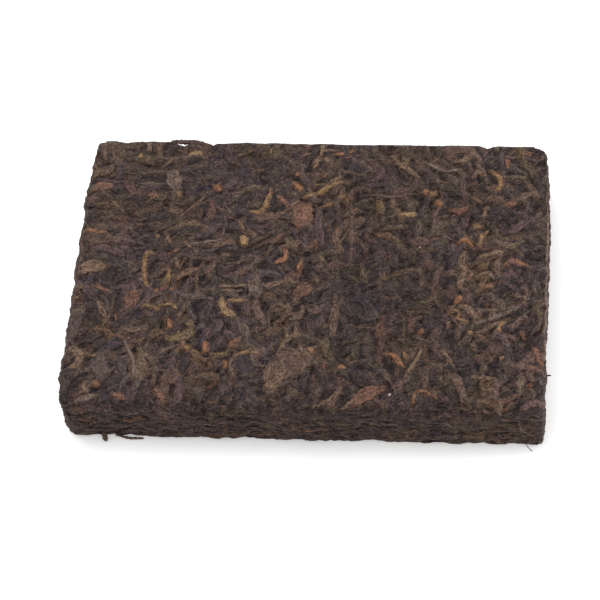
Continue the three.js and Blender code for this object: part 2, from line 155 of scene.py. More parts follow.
# strands with a place of their own: tone, width, then points along the strand
STRANDS = [
    ("tan", 1.5, -57, 50, -57, 45), ("gold", 1.4, -60.2, 44, -58.9, 44.2),
    ("bright", 1.5, -43.8, 45.3, -38.8, 46.5), ("gold", 1.6, -46, 31.5, -44.8, 28.5),
    ("orange", 2.0, -34.5, 33.8, -31.5, 31.5), ("olive", 0.8, -59, 34, -50, 34),
    ("red", 2.0, -56, 29, -52, 29), ("tan", 1.1, -67, 27.3, -62.5, 22.5),
    ("tan", 1.2, -72.5, 38.3, -73.5, 36), ("orange", 1.3, -74.3, 14, -73, 15.3, -70, 14.3, -67, 14.4),
    ("dark", 1.6, -57, 8.3, -54.5, 8.8, -52, 10, -50.5, 12), ("gold", 1.5, -51.3, 13, -50, 13.2),
    ("tan", 1.1, -48.5, 15, -47, 12, -46, 10.5), ("pale", 0.8, -41, 10, -36, 11.2, -31, 11.7),
    ("tan", 1.0, -42.3, 11.3, -39, 8.5),
    ("gold", 1.3, -51, 6, -52.5, 7, -53.8, 6, -54, 1, -53, -4, -51.8, -7),
    ("tan", 1.2, -44.5, 5.2, -41.8, 0), ("gold", 1.2, -16.8, 46.2, -15.9, 46.4),
    ("tan", 1.3, 0.5, 49, 0.5, 46, -1.8, 40.5), ("orange", 1.0, 4.3, 46, 8, 46),
    ("orange", 1.0, 9.5, 46.5, 11, 46.8), ("tan", 1.2, 1, 45, 3.5, 43),
    ("tan", 1.2, -5.5, 28.5, -9.5, 24, -11, 22.7, -13.5, 22.7),
    ("gold", 1.5, -5, 29.2, 0, 31.2, 5.5, 34.5, 8.5, 36), ("tan", 1.2, 3.5, 34.8, 8, 38.2),
    ("gold", 1.8, -15.3, 33, -15, 31, -15.8, 28, -17.8, 23.3, -21.8, 23.3),
    ("red", 1.4, -13, 29.5, -8.8, 25.6), ("orange", 1.8, -8.5, 35.5, -4.5, 31.5),
    ("orange", 1.3, -7.6, 38, -6.4, 38.5), ("olive", 1.6, -8.5, 30.8, -6.5, 30.2),
    ("brown", 1.1, 11.5, 27.5, 12.2, 17, 12.6, 5), ("umber", 1.5, 6, 30, 7.5, 23, 9, 16),
    ("bright", 2.4, -23.4, 14, -21.5, 10.6), ("tan", 1.0, -24.5, 19.5, -22.5, 15.5),
    ("tan", 1.0, -21.5, 17, -18, 13), ("orange", 1.7, -9, 9, -8.5, 5.5, -12, 3.5),
    ("orange", 1.7, -3, 4.8, -4.3, 0.8), ("tan", 1.0, 1.5, 8, 5, 3),
    ("tan", 1.5, 24, 45.5, 25.5, 43.5, 29, 41, 33.5, 37.3),
    ("pale", 0.8, 35.8, 42.8, 38, 41.5, 42, 40.6, 47, 40.8), ("tan", 1.4, 44, 44, 46.5, 43.8, 50, 45.5),
    ("gold", 1.5, 56, 41.3, 59.5, 37.5, 58.5, 32.5), ("tan", 1.4, 50.5, 38, 52, 40.5, 55, 38.5),
    ("umber", 1.8, 47.5, 38.5, 47.3, 34, 49.5, 26.5), ("orange", 2.1, 34.5, 32.2, 36.4, 32.2),
    ("gold", 2.1, 36.8, 32, 38.8, 30.6), ("orange", 2.2, 38.9, 29.6, 41, 26.8),
    ("bright", 1.9, 27, 23, 33, 23), ("red", 1.1, 50.3, 30.5, 53.5, 28.5),
    ("tan", 1.5, 55.3, 27, 54.8, 24, 53.8, 21.5), ("gold", 1.8, 51, 19.8, 53.5, 18.5),
    ("orange", 1.4, 45.5, 12, 48.5, 13.8, 51.5, 11.3),
    ("gold", 1.4, 52.6, 11.5, 53.7, 13, 53.9, 15, 56.3, 17.8),
    ("tan", 1.8, 48.8, 9.5, 47.8, 6, 48.8, 1, 47.5, -4, 49.2, -5.5),
    ("tan", 1.7, 53, 6.5, 55, 8, 61, 9.2), ("olive", 2.0, 57, 14, 63, 11.5, 67, 13.8),
    ("orange", 1.3, 64, 6, 69.5, 3.8), ("olive", 2.1, 64, 28.5, 69, 32, 73, 31),
    ("red", 1.8, 60.6, 27, 64.4, 28.6), ("orange", 1.3, 61, 45, 62, 42),
    ("red", 1.4, 66, 46.5, 69.5, 46.3), ("pale", 1.3, 74.6, 33, 75.2, 12, 75.2, -8, 74.7, -30),
    ("red", 1.2, -68.5, -6.3, -63, -8.5), ("tan", 1.6, -67, -12, -64, -18.5),
    ("tan", 1.1, -73.5, 4.5, -74, 2), ("gold", 1.3, -53.5, -14.5, -52, -13.3, -48, -14.5, -46.8, -15.8),
    ("gold", 1.3, -48, -13.3, -44, -12.7, -41.5, -14.5), ("gold", 1.4, -45.5, 1, -45.8, -5),
    ("orange", 1.4, -49.6, -7.6, -48.4, -8.4), ("orange", 1.3, -44.6, -6.8, -43.4, -7.3),
    ("bright", 2.3, -27.7, -9.6, -27.2, -12.5, -25.6, -15.2, -22.8, -16.6),
    ("gold", 1.4, -26, -10.8, -20, -10.8), ("tan", 0.9, -29.5, -5.5, -20, -5.3),
    ("tan", 0.8, -28.5, -7.2, -21, -7), ("tan", 1.1, -68.5, -31.5, -65, -32.5),
    ("tan", 2.0, -75.8, -31.8, -73.6, -29.8, -70.4, -31, -69.6, -34.6, -72, -37.4),
    ("pale", 0.9, -57.5, -26, -53.5, -34.5, -53, -40), ("slate", 2.5, -58.5, -33, -55.5, -39.5),
    ("olive", 1.5, -53, -32.5, -50, -32, -47.5, -34), ("orange", 2.0, -66, -42.3, -63, -42.4),
    ("tan", 1.5, -68, -41, -67, -46), ("pale", 1.6, -72, -49.8, -68, -47.4, -63, -46),
    ("red", 1.4, -59, -45.5, -55.5, -47, -56, -49), ("orange", 2.0, -31.5, -26, -31, -30.5),
    ("gold", 1.4, -37.8, -28.3, -36.4, -28.9), ("orange", 1.5, -44, -18, -43, -22),
    ("red", 1.6, -46, -43, -42, -48), ("gold", 1.3, -30, -47, -26.5, -48),
    ("red", 1.1, -9.5, -3.5, -8.3, -3.8), ("tan", 1.3, -7.5, -2.8, -4.5, -4),
    ("tan", 1.7, 1.3, -2, 2.7, -3.2), ("dark", 1.6, -1, -13.5, 7, -9, 16, -3),
    ("olive", 1.8, -10, -11.5, -6, -13.5, -6.5, -15.5),
    ("bark", 2.6, 8.5, -8, 8.6, -14, 8.5, -20, 8, -24), ("pale", 1.0, -22, -31, -23, -35, -21, -39.5),
    ("gold", 1.2, -22, -31, -18, -29.5, -14, -30.5), ("red", 1.5, -20, -24.5, -24.5, -28),
    ("orange", 1.5, -25, -33, -24, -36), ("gold", 1.8, 1.4, -27.4, 2.4, -29.4),
    ("orange", 1.4, 10.5, -34.7, 13.4, -34.7), ("tan", 1.1, -6.5, -20.5, -5.5, -25),
    ("tan", 1.1, -3.5, -20, -3, -25), ("tan", 1.1, -2, -26, -0.5, -29.5),
    ("tan", 1.0, 3, -48.5, 7, -47, 10, -44.5, 12.5, -41), ("red", 1.3, -9, -47.3, -7.5, -48.5),
    ("dark", 1.7, -7, -47, -3, -49.5), ("tan", 1.3, 17, -46, 14, -48, 10, -51.4),
    ("orange", 1.6, 25.3, -29.3, 28, -29.8, 31.5, -34.5), ("gold", 1.3, 31, -28.5, 32, -31),
    ("tan", 1.1, 35.8, -26, 36, -29, 31.5, -38.5), ("tan", 1.0, 34.5, -32, 32.5, -37),
    ("orange", 1.4, 36.5, -19.5, 36, -22), ("orange", 1.1, 34.3, -47, 35.6, -42.3, 40, -43.3, 42, -45),
    ("tan", 1.2, 42, -27, 44, -29, 47, -34), ("bark", 2.5, 46, -35.6, 48.5, -39.5, 50.5, -46),
    ("pale", 1.4, 52, -18, 56, -16.5, 60, -14.5, 64, -12.5, 67, -10.5),
    ("tan", 1.3, 53, -21, 58, -18.6, 64, -15.6), ("tan", 1.2, 67, -10.5, 68, -8, 63.5, -6.5),
    ("gold", 1.2, 62.3, -17, 60.8, -18, 60.3, -19.5, 61, -21), ("gold", 1.3, 51, -20.3, 51.8, -22),
    ("bark", 1.3, 44.5, -13, 46.5, -10.5), ("orange", 2.1, 46.3, -10.8, 48, -7.5),
    ("gold", 0.9, 46.5, -15.5, 51.5, -17.5), ("tan", 1.2, 44.5, -17, 44.8, -19.5),
    ("tan", 1.3, 53.2, -1.5, 54, 0.8, 57, 0.9, 58.2, -1.4), ("red", 1.6, 53.5, -3, 56, -4, 58.5, -2.5),
    ("red", 1.2, 50, -2, 51.5, 1), ("gold", 1.4, 61.2, -29.3, 61.8, -30.7),
    ("red", 1.5, 67, -20, 68.5, -23), ("red", 1.4, 71, -25, 72.4, -29, 74, -33),
    ("tan", 1.3, 52, -37, 60, -37.2), ("speck", 0.4, 44.1, 23.2, 44.6, 23.4),
    ("speck", 0.35, 34, 10.6, 34.5, 10.6), ("speck", 0.4, 27.1, -43.9, 27.6, -43.6),
    ("tan", 1.2, 56, -41.5, 60, -41.2), ("bark", 1.6, 55.5, -47, 57, -49.5, 60, -49.5, 61.5, -46),
]

# open leaves with a place of their own: tone, x, y, length, width, angle
OPEN_LEAVES = [
    ("pale", -46.8, 35, 10, 5.2, 110), ("red", -70, 32, 6.5, 4, 20), ("brown", -69, 11.5, 9, 5, 0),
    ("red", -3.7, 22.5, 10, 7.4, 90), ("bark", -16, 20.8, 10, 3.4, 8),
    ("brown", 45.5, 47.3, 11, 4.4, 0), ("bark", 34.5, 12.5, 6, 3.6, 0), ("tan", -70, 0.5, 9, 5, 20),
    ("grey", -73, -22, 12, 5.8, 85), ("grey", -63, -36, 10.5, 5.4, 110),
    ("olive", -51.5, -37, 8.5, 5, 80), ("pale", -17, -5.5, 8, 4.8, 105), ("red", -2, -7, 6.5, 5.2, 30),
    ("slate", -18.5, -35, 7.4, 7, 0), ("red", 20.8, -44.3, 12, 4.4, 33),
    ("brown", 60, -27, 6, 4.6, 100), ("red", -56, -11, 7, 4.6, 90), ("grey", 64.3, -33, 8.5, 4, 95),
    ("olive", -6.8, 11.2, 6, 3.4, 120), ("bark", -4.6, -34.8, 17, 11, 35),
    ("tan", -8.4, -37.6, 9, 7, 70), ("tan", -8.6, -41, 8, 5.0, 60),
]

# leaves with a place of their own are lighter and wider than the rest
PLACED_LIGHT = 1.14
PLACED_WIDTH = 1.25
BUD_WIDTH = 1.2
THIN = 1.0                      # narrower ones are stems

# how often each tone turns up, over the brick and among the uppermost strands
TONE_SHARES = {"black": 8, "dark": 19, "slate": 12, "umber": 18, "grey": 10, "brown": 15, "bark": 9,
               "olive": 4, "red": 3, "tan": 4}
STRAND_SHARES = {"dark": 11, "slate": 8, "umber": 14, "grey": 12, "brown": 16, "bark": 16, "olive": 10,
                 "red": 4, "tan": 12}
DARK_TONES = ("black", "dark", "slate", "umber")
BUD_TONES = ("gold", "bright", "orange")
STEM_TONES = ("brown", "bark", "bark", "red", "tan", "olive")
GOLDEN_CAST = np.array([0.24, 0.10, -0.42])
GREEN_CAST = np.array([-0.04, 0.05, -0.08])

# strands on the front wall: tone, width, then x and z along the strand
WALL_STRANDS = [
    ("tan", 1.2, 67.5, 14.5, 68, 10, 71, 6), ("bark", 1.0, 60, 9, 66, 8.4, 71, 8.8),
    ("tan", 0.9, 20, 12, 31, 11.2), ("bark", 1.3, 44, 15, 47, 12.5), ("red", 0.8, -6, 8, 5, 8.8),
    ("bark", 0.9, -38, 10.5, -26, 10), ("red", 1.0, -58, 11, -49, 12), ("tan", 0.8, -20, 4.5, -9, 4.2),
    ("tan", 1.1, -66, 13.5, -62, 10), ("olive", 0.9, 36, 5, 50, 5.6), ("bark", 0.8, -70, 5, -60, 4.4),
]

# loose rods, x, y, z along each: the stem that loops out past the back edge with the stub that holds its
# middle, then a sliver, a crumb and a hair at the foot of the front wall, and a twig end on the right
LOOP = [(-51.5, 50.0, 17.6), (-49.5, 51.3, 18.5), (-46, 51.3, 18.6), (-42, 51.2, 18.6), (-39.5, 50.6, 18.6),
        (-36.5, 49.6, 18.5), (-33.5, 48.0, 17.8)]
LOOP_STUB = [(-43.2, 51.1, 18.5), (-43.0, 46.0, 18.2)]
SLIVER = [(-60, -50.4, 1.2), (-56, -51.3, 0.9), (-51, -51.2, 0.6)]
CRUMB = [(-63.6, -50.4, 2.6), (-63.2, -51.6, 1.6), (-62.6, -52.9, 1.1)]
HAIR = [(69.5, -50.2, 1.2), (70.6, -51.4, 0.6), (71.8, -52.2, 0.3)]
TWIG = [(74.6, -34.0, 15.2), (75.8, -33.8, 16.0), (77.0, -34.2, 16.6)]
RODS = [(LOOP, 1.8, "brown"), (LOOP_STUB, 2.4, "brown"), (SLIVER, 0.9, "tan"), (CRUMB, 1.8, "bark"),
        (HAIR, 0.3, "tan"), (TWIG, 0.6, "bark")]

# camera: where it looks and from where, solved for a frame of 600 by 600 pixels
VIEW_ELEVATION = 57.56
VIEW_TURN = 10.666
VIEW_ROLL = -7.889
VIEW_DISTANCE = 762.54
VIEW_TARGET = (-3.85, -4.3, 10.0)
LENS = 142.28
SENSOR = 36.0

# lamps, in metres: the key high over the back left, the rim low beside the right wall
KEY_PLACE = (-0.30, 0.30, 0.85)
RIM_PLACE = (0.70, 0.05, 0.09)
RIM_SIZE = 0.25


def srgb_to_linear(colour):
    c = np.asarray(colour, dtype=float) / 255.0
    return np.where(c <= 0.04045, c / 12.92, ((c + 0.055) / 1.055) ** 2.4)


def lattice_noise(x, y, cell, seed):
    """Smooth noise from 0 to 1 whose bumps are about one cell wide."""
    table = np.random.RandomState(seed).rand(64, 64)
    gx, gy = np.asarray(x) / cell + 1000.0, np.asarray(y) / cell + 1000.0
    ix, iy = np.floor(gx).astype(int), np.floor(gy).astype(int)
    fx, fy = gx - ix, gy - iy
    fx, fy = fx * fx * (3 - 2 * fx), fy * fy * (3 - 2 * fy)
    a, b = table[ix % 64, iy % 64], table[(ix + 1) % 64, iy % 64]
    c, d = table[ix % 64, (iy + 1) % 64], table[(ix + 1) % 64, (iy + 1) % 64]
    return (a * (1 - fx) + b * fx) * (1 - fy) + (c * (1 - fx) + d * fx) * fy


def box_blur(grid, cells, wraps):
    """Average over a square of about 2 x cells + 1 grid steps, run twice to soften it."""
    for _ in range(2):
        for axis in (0, 1):
            mode = "wrap" if wraps and axis == 0 else "edge"
            pad = [(0, 0), (0, 0)]
            pad[axis] = (cells + 1, cells)
            total = np.cumsum(np.pad(grid, pad, mode=mode), axis=axis)
            size = grid.shape[axis]
            low = np.take(total, np.arange(size), axis=axis)
            high = np.take(total, np.arange(size) + 2 * cells + 1, axis=axis)
            grid = (high - low) / (2 * cells + 1)
    return grid


class Bed:
    """One side of the brick laid out flat: how high the leaves stand and the tone of the topmost one."""

    def __init__(self, half_x, half_y, start, ceilings, wraps=False):
        self.half_x, self.half_y, self.wraps = half_x, half_y, wraps
        self.nx, self.ny = int(round(2 * half_x / CELL)), int(round(2 * half_y / CELL))
        self.start, self.ceilings, self.ceiling = start, ceilings, ceilings["buried"]
        self.height = np.full((self.nx, self.ny), start)
        self.tone = np.zeros((self.nx, self.ny, 3)) + srgb_to_linear(TONES["black"])
        self.ground = srgb_to_linear(TONES["umber"])
        self.mean = self.height

    def cells(self, x, y):
        ix = np.floor((x + self.half_x) / CELL).astype(int)
        iy = np.floor((y + self.half_y) / CELL).astype(int)
        ix = ix % self.nx if self.wraps else np.clip(ix, 0, self.nx - 1)
        return ix, np.clip(iy, 0, self.ny - 1)

    def sample(self, x, y):
        return self.height[self.cells(x, y)]

    def press(self, x, y, z, tone=None):
        ix, iy = self.cells(x, y)
        above = z > self.height[ix, iy]
        self.height[ix[above], iy[above]] = z[above]
        if tone is not None:
            self.tone[ix[above], iy[above]] = tone

    def settle(self):
        """Keeps the mean height round each cell, which tells a ridge from a hollow."""
        self.mean = box_blur(self.height, 6, self.wraps)

    def painted_shade_openness(self, x, y, z):
        """0 down in a crack, about 1 on a ridge; sets how dark the painted shade in the cracks is."""
        rise = z - self.mean[self.cells(x, y)]
        return np.clip(0.62 + rise / 0.8, 0.0, 1.1)


# forms over the top, over its calm places and among the uppermost strands, with the share of each
TOP_FORMS = {"rolled": 4, "folded": 2.5, "crushed": 5, "open": 1}
CALM_FORMS = {"rolled": 2, "folded": 2, "crushed": 6, "open": 2}
STRAND_FORMS = {"rolled": 5, "folded": 3, "crushed": 1.5}


# ---- from a flat bed to its place on the brick -------------------------------------------------

def swell(swells, place, z):
    """Outward swell of a wall; the narrow ones are leaf ends at the upper edge and fade down the wall."""
    total = np.zeros_like(place)
    for at, out, half in swells:
        fade = np.clip((z - 9) / 8, 0, 1) if half < 4 else 1.0
        total += out * fade * np.exp(-(((place - at) / half) ** 2))
    return total


def swell_out(x, y, z):
    """Pulls the walls out to the uneven, ragged outline, in place."""
    side_x = np.where(x > 0, swell(RIGHT_SWELLS, y, z), -swell(LEFT_SWELLS, y, z))
    side_y = np.where(y > 0, swell(BACK_SWELLS, x, z), -swell(FRONT_SWELLS, x, z))
    pull_x = np.clip((np.abs(x) / (LENGTH / 2) - SWELL_FROM) / (1 - SWELL_FROM), 0, 1) ** 2
    pull_y = np.clip((np.abs(y) / (DEPTH / 2) - SWELL_FROM) / (1 - SWELL_FROM), 0, 1) ** 2
    ragged = COARSE_RAG * (lattice_noise(x + z * 0.7, y - z * 0.9, 2.6, 11) - 0.5)
    ragged += FINE_RAG * (lattice_noise(x - z * 0.5, y + z * 0.8, 1.1, 12) - 0.5)
    outward_x, outward_y = ragged * np.sign(x), ragged * np.sign(y)
    x += pull_x * (side_x + outward_x)
    y += pull_y * (side_y + outward_y)


def wear_edges(x, y, z):
    """Wears down the long edges at the top and the foot, unevenly along them, in place."""
    for edge_sign, wear in ((1, TOP_WEAR), (-1, FOOT_WEAR)):
        to_face = (HEIGHT - z) if edge_sign > 0 else z
        for wall, gap in ((0, LENGTH / 2 - np.abs(x)), (1, DEPTH / 2 - np.abs(y))):
            along, across = (y, x) if wall == 0 else (x, y)
            row = edge_sign * 40.0 + np.sign(across) * 9
            rough = 0.1 + 1.2 * lattice_noise(along, row, 3.4, 17) + 0.6 * lattice_noise(along, row, 1.3, 18)
            worn = wear * rough
            if edge_sign > 0 and wall == 1:
                worn = np.where(y < 0, FRONT_WEAR, BACK_WEAR) * rough
            over = np.clip(worn - (gap + to_face), 0, 3) / 2
            z -= edge_sign * over
            across -= np.sign(across) * over


def round_corners(x, y):
    """Rounds the four upright corners, in place."""
    for sx, sy, radius in CORNERS:
        vx, vy = x - sx * (LENGTH / 2 - radius), y - sy * (DEPTH / 2 - radius)
        far = np.hypot(vx, vy)
        cut = (vx * sx > 0) & (vy * sy > 0) & (far > radius)
        scale = np.where(cut, (radius + CORNER_GIVE * (far - radius)) / np.maximum(far, 1e-9), 1.0)
        x += vx * (scale - 1)
        y += vy * (scale - 1)


def dent(x, y, z):
    """Pushes points out of each dent, to its rounded bottom."""
    for cx, cy, cz, rx, ry, rz in DENTS:
        dx, dy, dz = (x - cx) / rx, (y - cy) / ry, (z - cz) / rz
        q = np.sqrt(dx * dx + dy * dy + dz * dz)
        inside = (q < 1) & (q > 1e-6)
        push = np.where(inside, 1 / np.maximum(q, 0.25), 1.0)
        x, y, z = cx + (x - cx) * push, cy + (y - cy) * push, cz + (z - cz) * push
    return x, y, z


def weather(points):
    """Moves points of the ideal slab onto the real one."""
    x, y, z = points[:, 0].copy(), points[:, 1].copy(), points[:, 2].copy()
    swell_out(x, y, z)
    wear_edges(x, y, z)
    round_corners(x, y)
    x, y, z = dent(x, y, z)
    return np.stack([x + SHIFT[0], y + SHIFT[1], np.maximum(z, FLOOR_GAP)], axis=1)


def over_face(x, y, h, up):
    """Top (up = 1) or underside (up = -1): past the edge the bed bends round it and down the wall."""
    qx, qy = np.clip(x, -INNER_X, INNER_X), np.clip(y, -INNER_Y, INNER_Y)
    dx, dy = x - qx, y - qy
    out = np.hypot(dx, dy)
    safe = np.maximum(out, 1e-9)
    nx, ny = dx / safe, dy / safe
    turn = np.minimum(out / EDGE, math.pi / 2)
    down = np.maximum(out - ARC, 0)
    radius = EDGE + h
    z = HEIGHT / 2 + up * (INNER_Z + radius * np.cos(turn) - down)
    return np.stack([qx + nx * radius * np.sin(turn), qy + ny * radius * np.sin(turn), z], axis=1)


WALL_STOPS = np.cumsum([0, 2 * INNER_X, ARC, 2 * INNER_Y, ARC, 2 * INNER_X, ARC, 2 * INNER_Y, ARC])
ROUND = float(WALL_STOPS[-1])


def round_wall(s, t, h):
    """Walls: s runs round the brick from the front left corner, t up the wall from its middle."""
    s = np.mod(s + ROUND / 2, ROUND)
    qx, qy, nx, ny = (np.zeros_like(s) for _ in range(4))
    corners = [(-INNER_X, -INNER_Y), (INNER_X, -INNER_Y), (INNER_X, INNER_Y), (-INNER_X, INNER_Y)]
    for side in range(4):
        heading = side * math.pi / 2
        (ax, ay), (bx, by) = corners[side], corners[(side + 1) % 4]
        low, high = WALL_STOPS[2 * side], WALL_STOPS[2 * side + 1]
        on = (s >= low) & (s < high)
        k = (s[on] - low) / (high - low)
        qx[on], qy[on] = ax + (bx - ax) * k, ay + (by - ay) * k
        nx[on], ny[on] = math.sin(heading), -math.cos(heading)
        low, high = high, WALL_STOPS[2 * side + 2]
        on = (s >= low) & (s <= high)
        turn = heading + (s[on] - low) / EDGE
        qx[on], qy[on] = bx, by
        nx[on], ny[on] = np.sin(turn), -np.cos(turn)
    over = np.clip((np.abs(t) - INNER_Z) / EDGE, 0, math.pi / 2)
    radius = EDGE + h
    z = HEIGHT / 2 + np.where(over > 0, np.sign(t) * (INNER_Z + radius * np.sin(over)), t)
    return np.stack([qx + nx * radius * np.cos(over), qy + ny * radius * np.cos(over), z], axis=1)


# ---- leaf shapes ---------------------------------------------------------------------------------

def through(points, spacing):
    """Even stops along a smooth curve through the points."""
    p = np.array(points, dtype=float)
    ends = np.vstack([2 * p[0] - p[1], p, 2 * p[-1] - p[-2]])
    stops = []
    for i in range(len(p) - 1):
        a, b, c, d = ends[i:i + 4]
        k = np.linspace(0, 1, 12, endpoint=False)[:, None]
        square, cube = 2 * a - 5 * b + 4 * c - d, 3 * b - a - 3 * c + d
        stops.append(0.5 * (2 * b + (c - a) * k + square * k ** 2 + cube * k ** 3))
    path = np.vstack(stops + [p[-1:]])
    walked = np.concatenate([[0], np.cumsum(np.linalg.norm(np.diff(path, axis=0), axis=1))])
    count = max(4, int(round(walked[-1] / spacing)))
    at = np.linspace(0, walked[-1], count * 4 + 1)
    return np.stack([np.interp(at, walked, path[:, k]) for k in range(path.shape[1])], axis=1)


def wandering(rng, x, y, heading, length, bend, spacing):
    """Even stops along a leaf that turns by bend in all and wavers a little."""
    count = max(4, int(round(length / spacing))) * 4
    u = np.linspace(-0.5, 0.5, count + 1)
    turn = heading + bend * u + 0.22 * np.sin(u * rng.uniform(4, 9) + rng.uniform(0, FULL_TURN))
    step = length / count
    px = np.cumsum(np.cos(turn)) * step
    py = np.cumsum(np.sin(turn)) * step
    return np.stack([x + px - px[count // 2], y + py - py[count // 2]], axis=1)


# across: points over a leaf from edge to edge; rise: its height; grip: how closely it follows what is under
# it; ends: width left at the tips; belly: how blunt it is (less is blunter)
FORMS = {
    "rolled": dict(across=7, rise=0.72, grip=0.45, ends=0.40, belly=0.55),
    "folded": dict(across=7, rise=0.60, grip=0.50, ends=0.35, belly=0.55),
    "crushed": dict(across=9, rise=0.42, grip=0.60, ends=0.45, belly=0.45),
    "open": dict(across=9, rise=0.40, grip=0.65, ends=0.25, belly=0.75),
    "stem": dict(across=5, rise=0.70, grip=0.35, ends=0.65, belly=0.25),
    "bud": dict(across=7, rise=0.75, grip=0.40, ends=0.35, belly=0.8),
    "layer": dict(across=5, rise=0.40, grip=0.55, ends=0.35, belly=0.55),
}


def cross_profile(form, v, u, rng):
    """Height of a leaf over its width (v from -1 to 1) and length (u from 0 to 1), 0 to about 1."""
    v, u = v[None, :], u[:, None]
    dome = (1 - np.abs(v) ** 2.4) ** 0.6
    phase = rng.uniform(0, FULL_TURN)
    if form == "rolled":
        twist = rng.uniform(-3.0, 3.0)
        ridges = np.cos(math.pi * (2.0 * v + twist * u) + phase)
        return dome * (0.82 + 0.24 * ridges)
    if form == "folded":
        crest = rng.uniform(-0.55, 0.55) + 0.25 * np.sin(u * 5 + phase)
        slope = np.where(v < crest, (v + 1) / (crest + 1), (1 - v) / (1 - crest))
        return np.clip(slope, 0, 1) ** 0.75 * (0.9 + 0.1 * np.sin(u * 21 + phase))
    if form == "open":
        curl = rng.uniform(0.1, 0.5)
        rib = 0.22 * np.exp(-((v / 0.14) ** 2))
        ripple = 0.10 * np.sin(u * 26 + np.abs(v) * 5 + phase) + 0.10 * np.sin(u * 9 + v * 4 + phase)
        return 0.62 + curl * np.abs(v) ** 3 - rib + ripple
    if form == "crushed":
        flat = (1 - np.abs(v) ** 5)
        creases = 0.27 * np.cos(math.pi * (rng.uniform(2.2, 3.4) * v + rng.uniform(-2, 2) * u) + phase)
        creases = creases + 0.15 * np.cos(math.pi * (rng.uniform(4, 5.5) * v + rng.uniform(-3, 3) * u))
        return flat * (0.55 + creases)
    if form == "bud":
        return dome * (0.92 + 0.08 * np.cos(math.pi * 3 * v + phase))
    return np.sqrt(np.clip(1 - v * v, 0, 1)) + 0 * u


def width_profile(form, u, rng):
    """Share of the full width at each stop: fuller in the middle, a little ragged."""
    ends = FORMS[form]["ends"]
    lean = rng.uniform(0.75, 1.3)
    bulge = np.clip(np.sin(math.pi * u ** lean), 0, 1) ** FORMS[form]["belly"]
    shape = ends + (1 - ends) * bulge
    rough = 0.11 * np.sin(u * rng.uniform(9, 17) + rng.uniform(0, FULL_TURN))
    rough = rough + 0.09 * np.sin(u * rng.uniform(26, 44) + rng.uniform(0, FULL_TURN))
    return shape * (1 + (rough if form != "stem" else 0.5 * rough))


def bedding(under, grip):
    """How high a leaf lies along its length when stiff, and the surface it settles on with its grip."""
    stiff = 0.7 * under.mean(axis=1) + 0.3 * under.max(axis=1)
    reach = min(9, len(under) // 2 * 2 - 1)
    kernel = np.hanning(reach + 2)[1:-1]
    kernel /= kernel.sum()
    stiff = np.convolve(np.pad(stiff, reach // 2, mode="edge"), kernel, mode="valid")
    soft = (np.roll(under, 1, 0) + 2 * under + np.roll(under, -1, 0)) / 4
    soft[0], soft[-1] = under[0], under[-1]
    soft = (np.roll(soft, 1, 1) + 2 * soft + np.roll(soft, -1, 1)) / 4
    return stiff, (1 - grip) * stiff[:, None] + grip * soft


def lay(bed, line, width, form, rng, tone=None, lift=1.0, keep=True, least=0.16):
    """Presses one leaf into the bed on a fine grid; if kept, gives back its shape on a coarser one."""
    rule = FORMS[form]
    d = np.gradient(line, axis=0)
    d /= np.maximum(np.linalg.norm(d, axis=1, keepdims=True), 1e-9)
    u = np.linspace(0, 1, len(line))
    v = np.linspace(-1, 1, 2 * (rule["across"] - 1) + 1)
    half = width / 2 * width_profile(form, u, rng)
    x = line[:, 0, None] - d[:, 1, None] * half[:, None] * v
    y = line[:, 1, None] + d[:, 0, None] * half[:, None] * v
    stiff, base = bedding(bed.sample(x, y), rule["grip"])
    room = np.clip(1 - (stiff - bed.start) / (bed.ceiling - bed.start), least, 1)
    thick = FLAT_THICKNESS if form in ("open", "crushed") else min(width * 0.55, MOST_THICKNESS)
    swelling = np.clip(np.sin(math.pi * u), 0, 1) ** 0.4
    waver = 1 + 0.28 * np.sin(u * rng.uniform(5, 12) + rng.uniform(0, FULL_TURN))
    rise = rule["rise"] * thick * lift * room * (0.15 + 0.85 * swelling) * waver
    z = base + rise[:, None] * cross_profile(form, v, u, rng)
    if form != "stem":
        z = z + 0.16 * min(lift, 1.0) * (lattice_noise(x, y, 0.8, rng.randrange(999)) - 0.5)
    over = np.maximum(z - bed.ceiling, 0)
    z = np.where(over > 0, bed.ceiling + 0.25 * np.tanh(over / 0.35), z)
    bed.press(x, y, z, tone)
    if not keep:
        return None
    return dict(x=x[::4, ::2], y=y[::4, ::2], z=z[::4, ::2], under=base[::4, ::2], half=half[::4], u=u[::4])


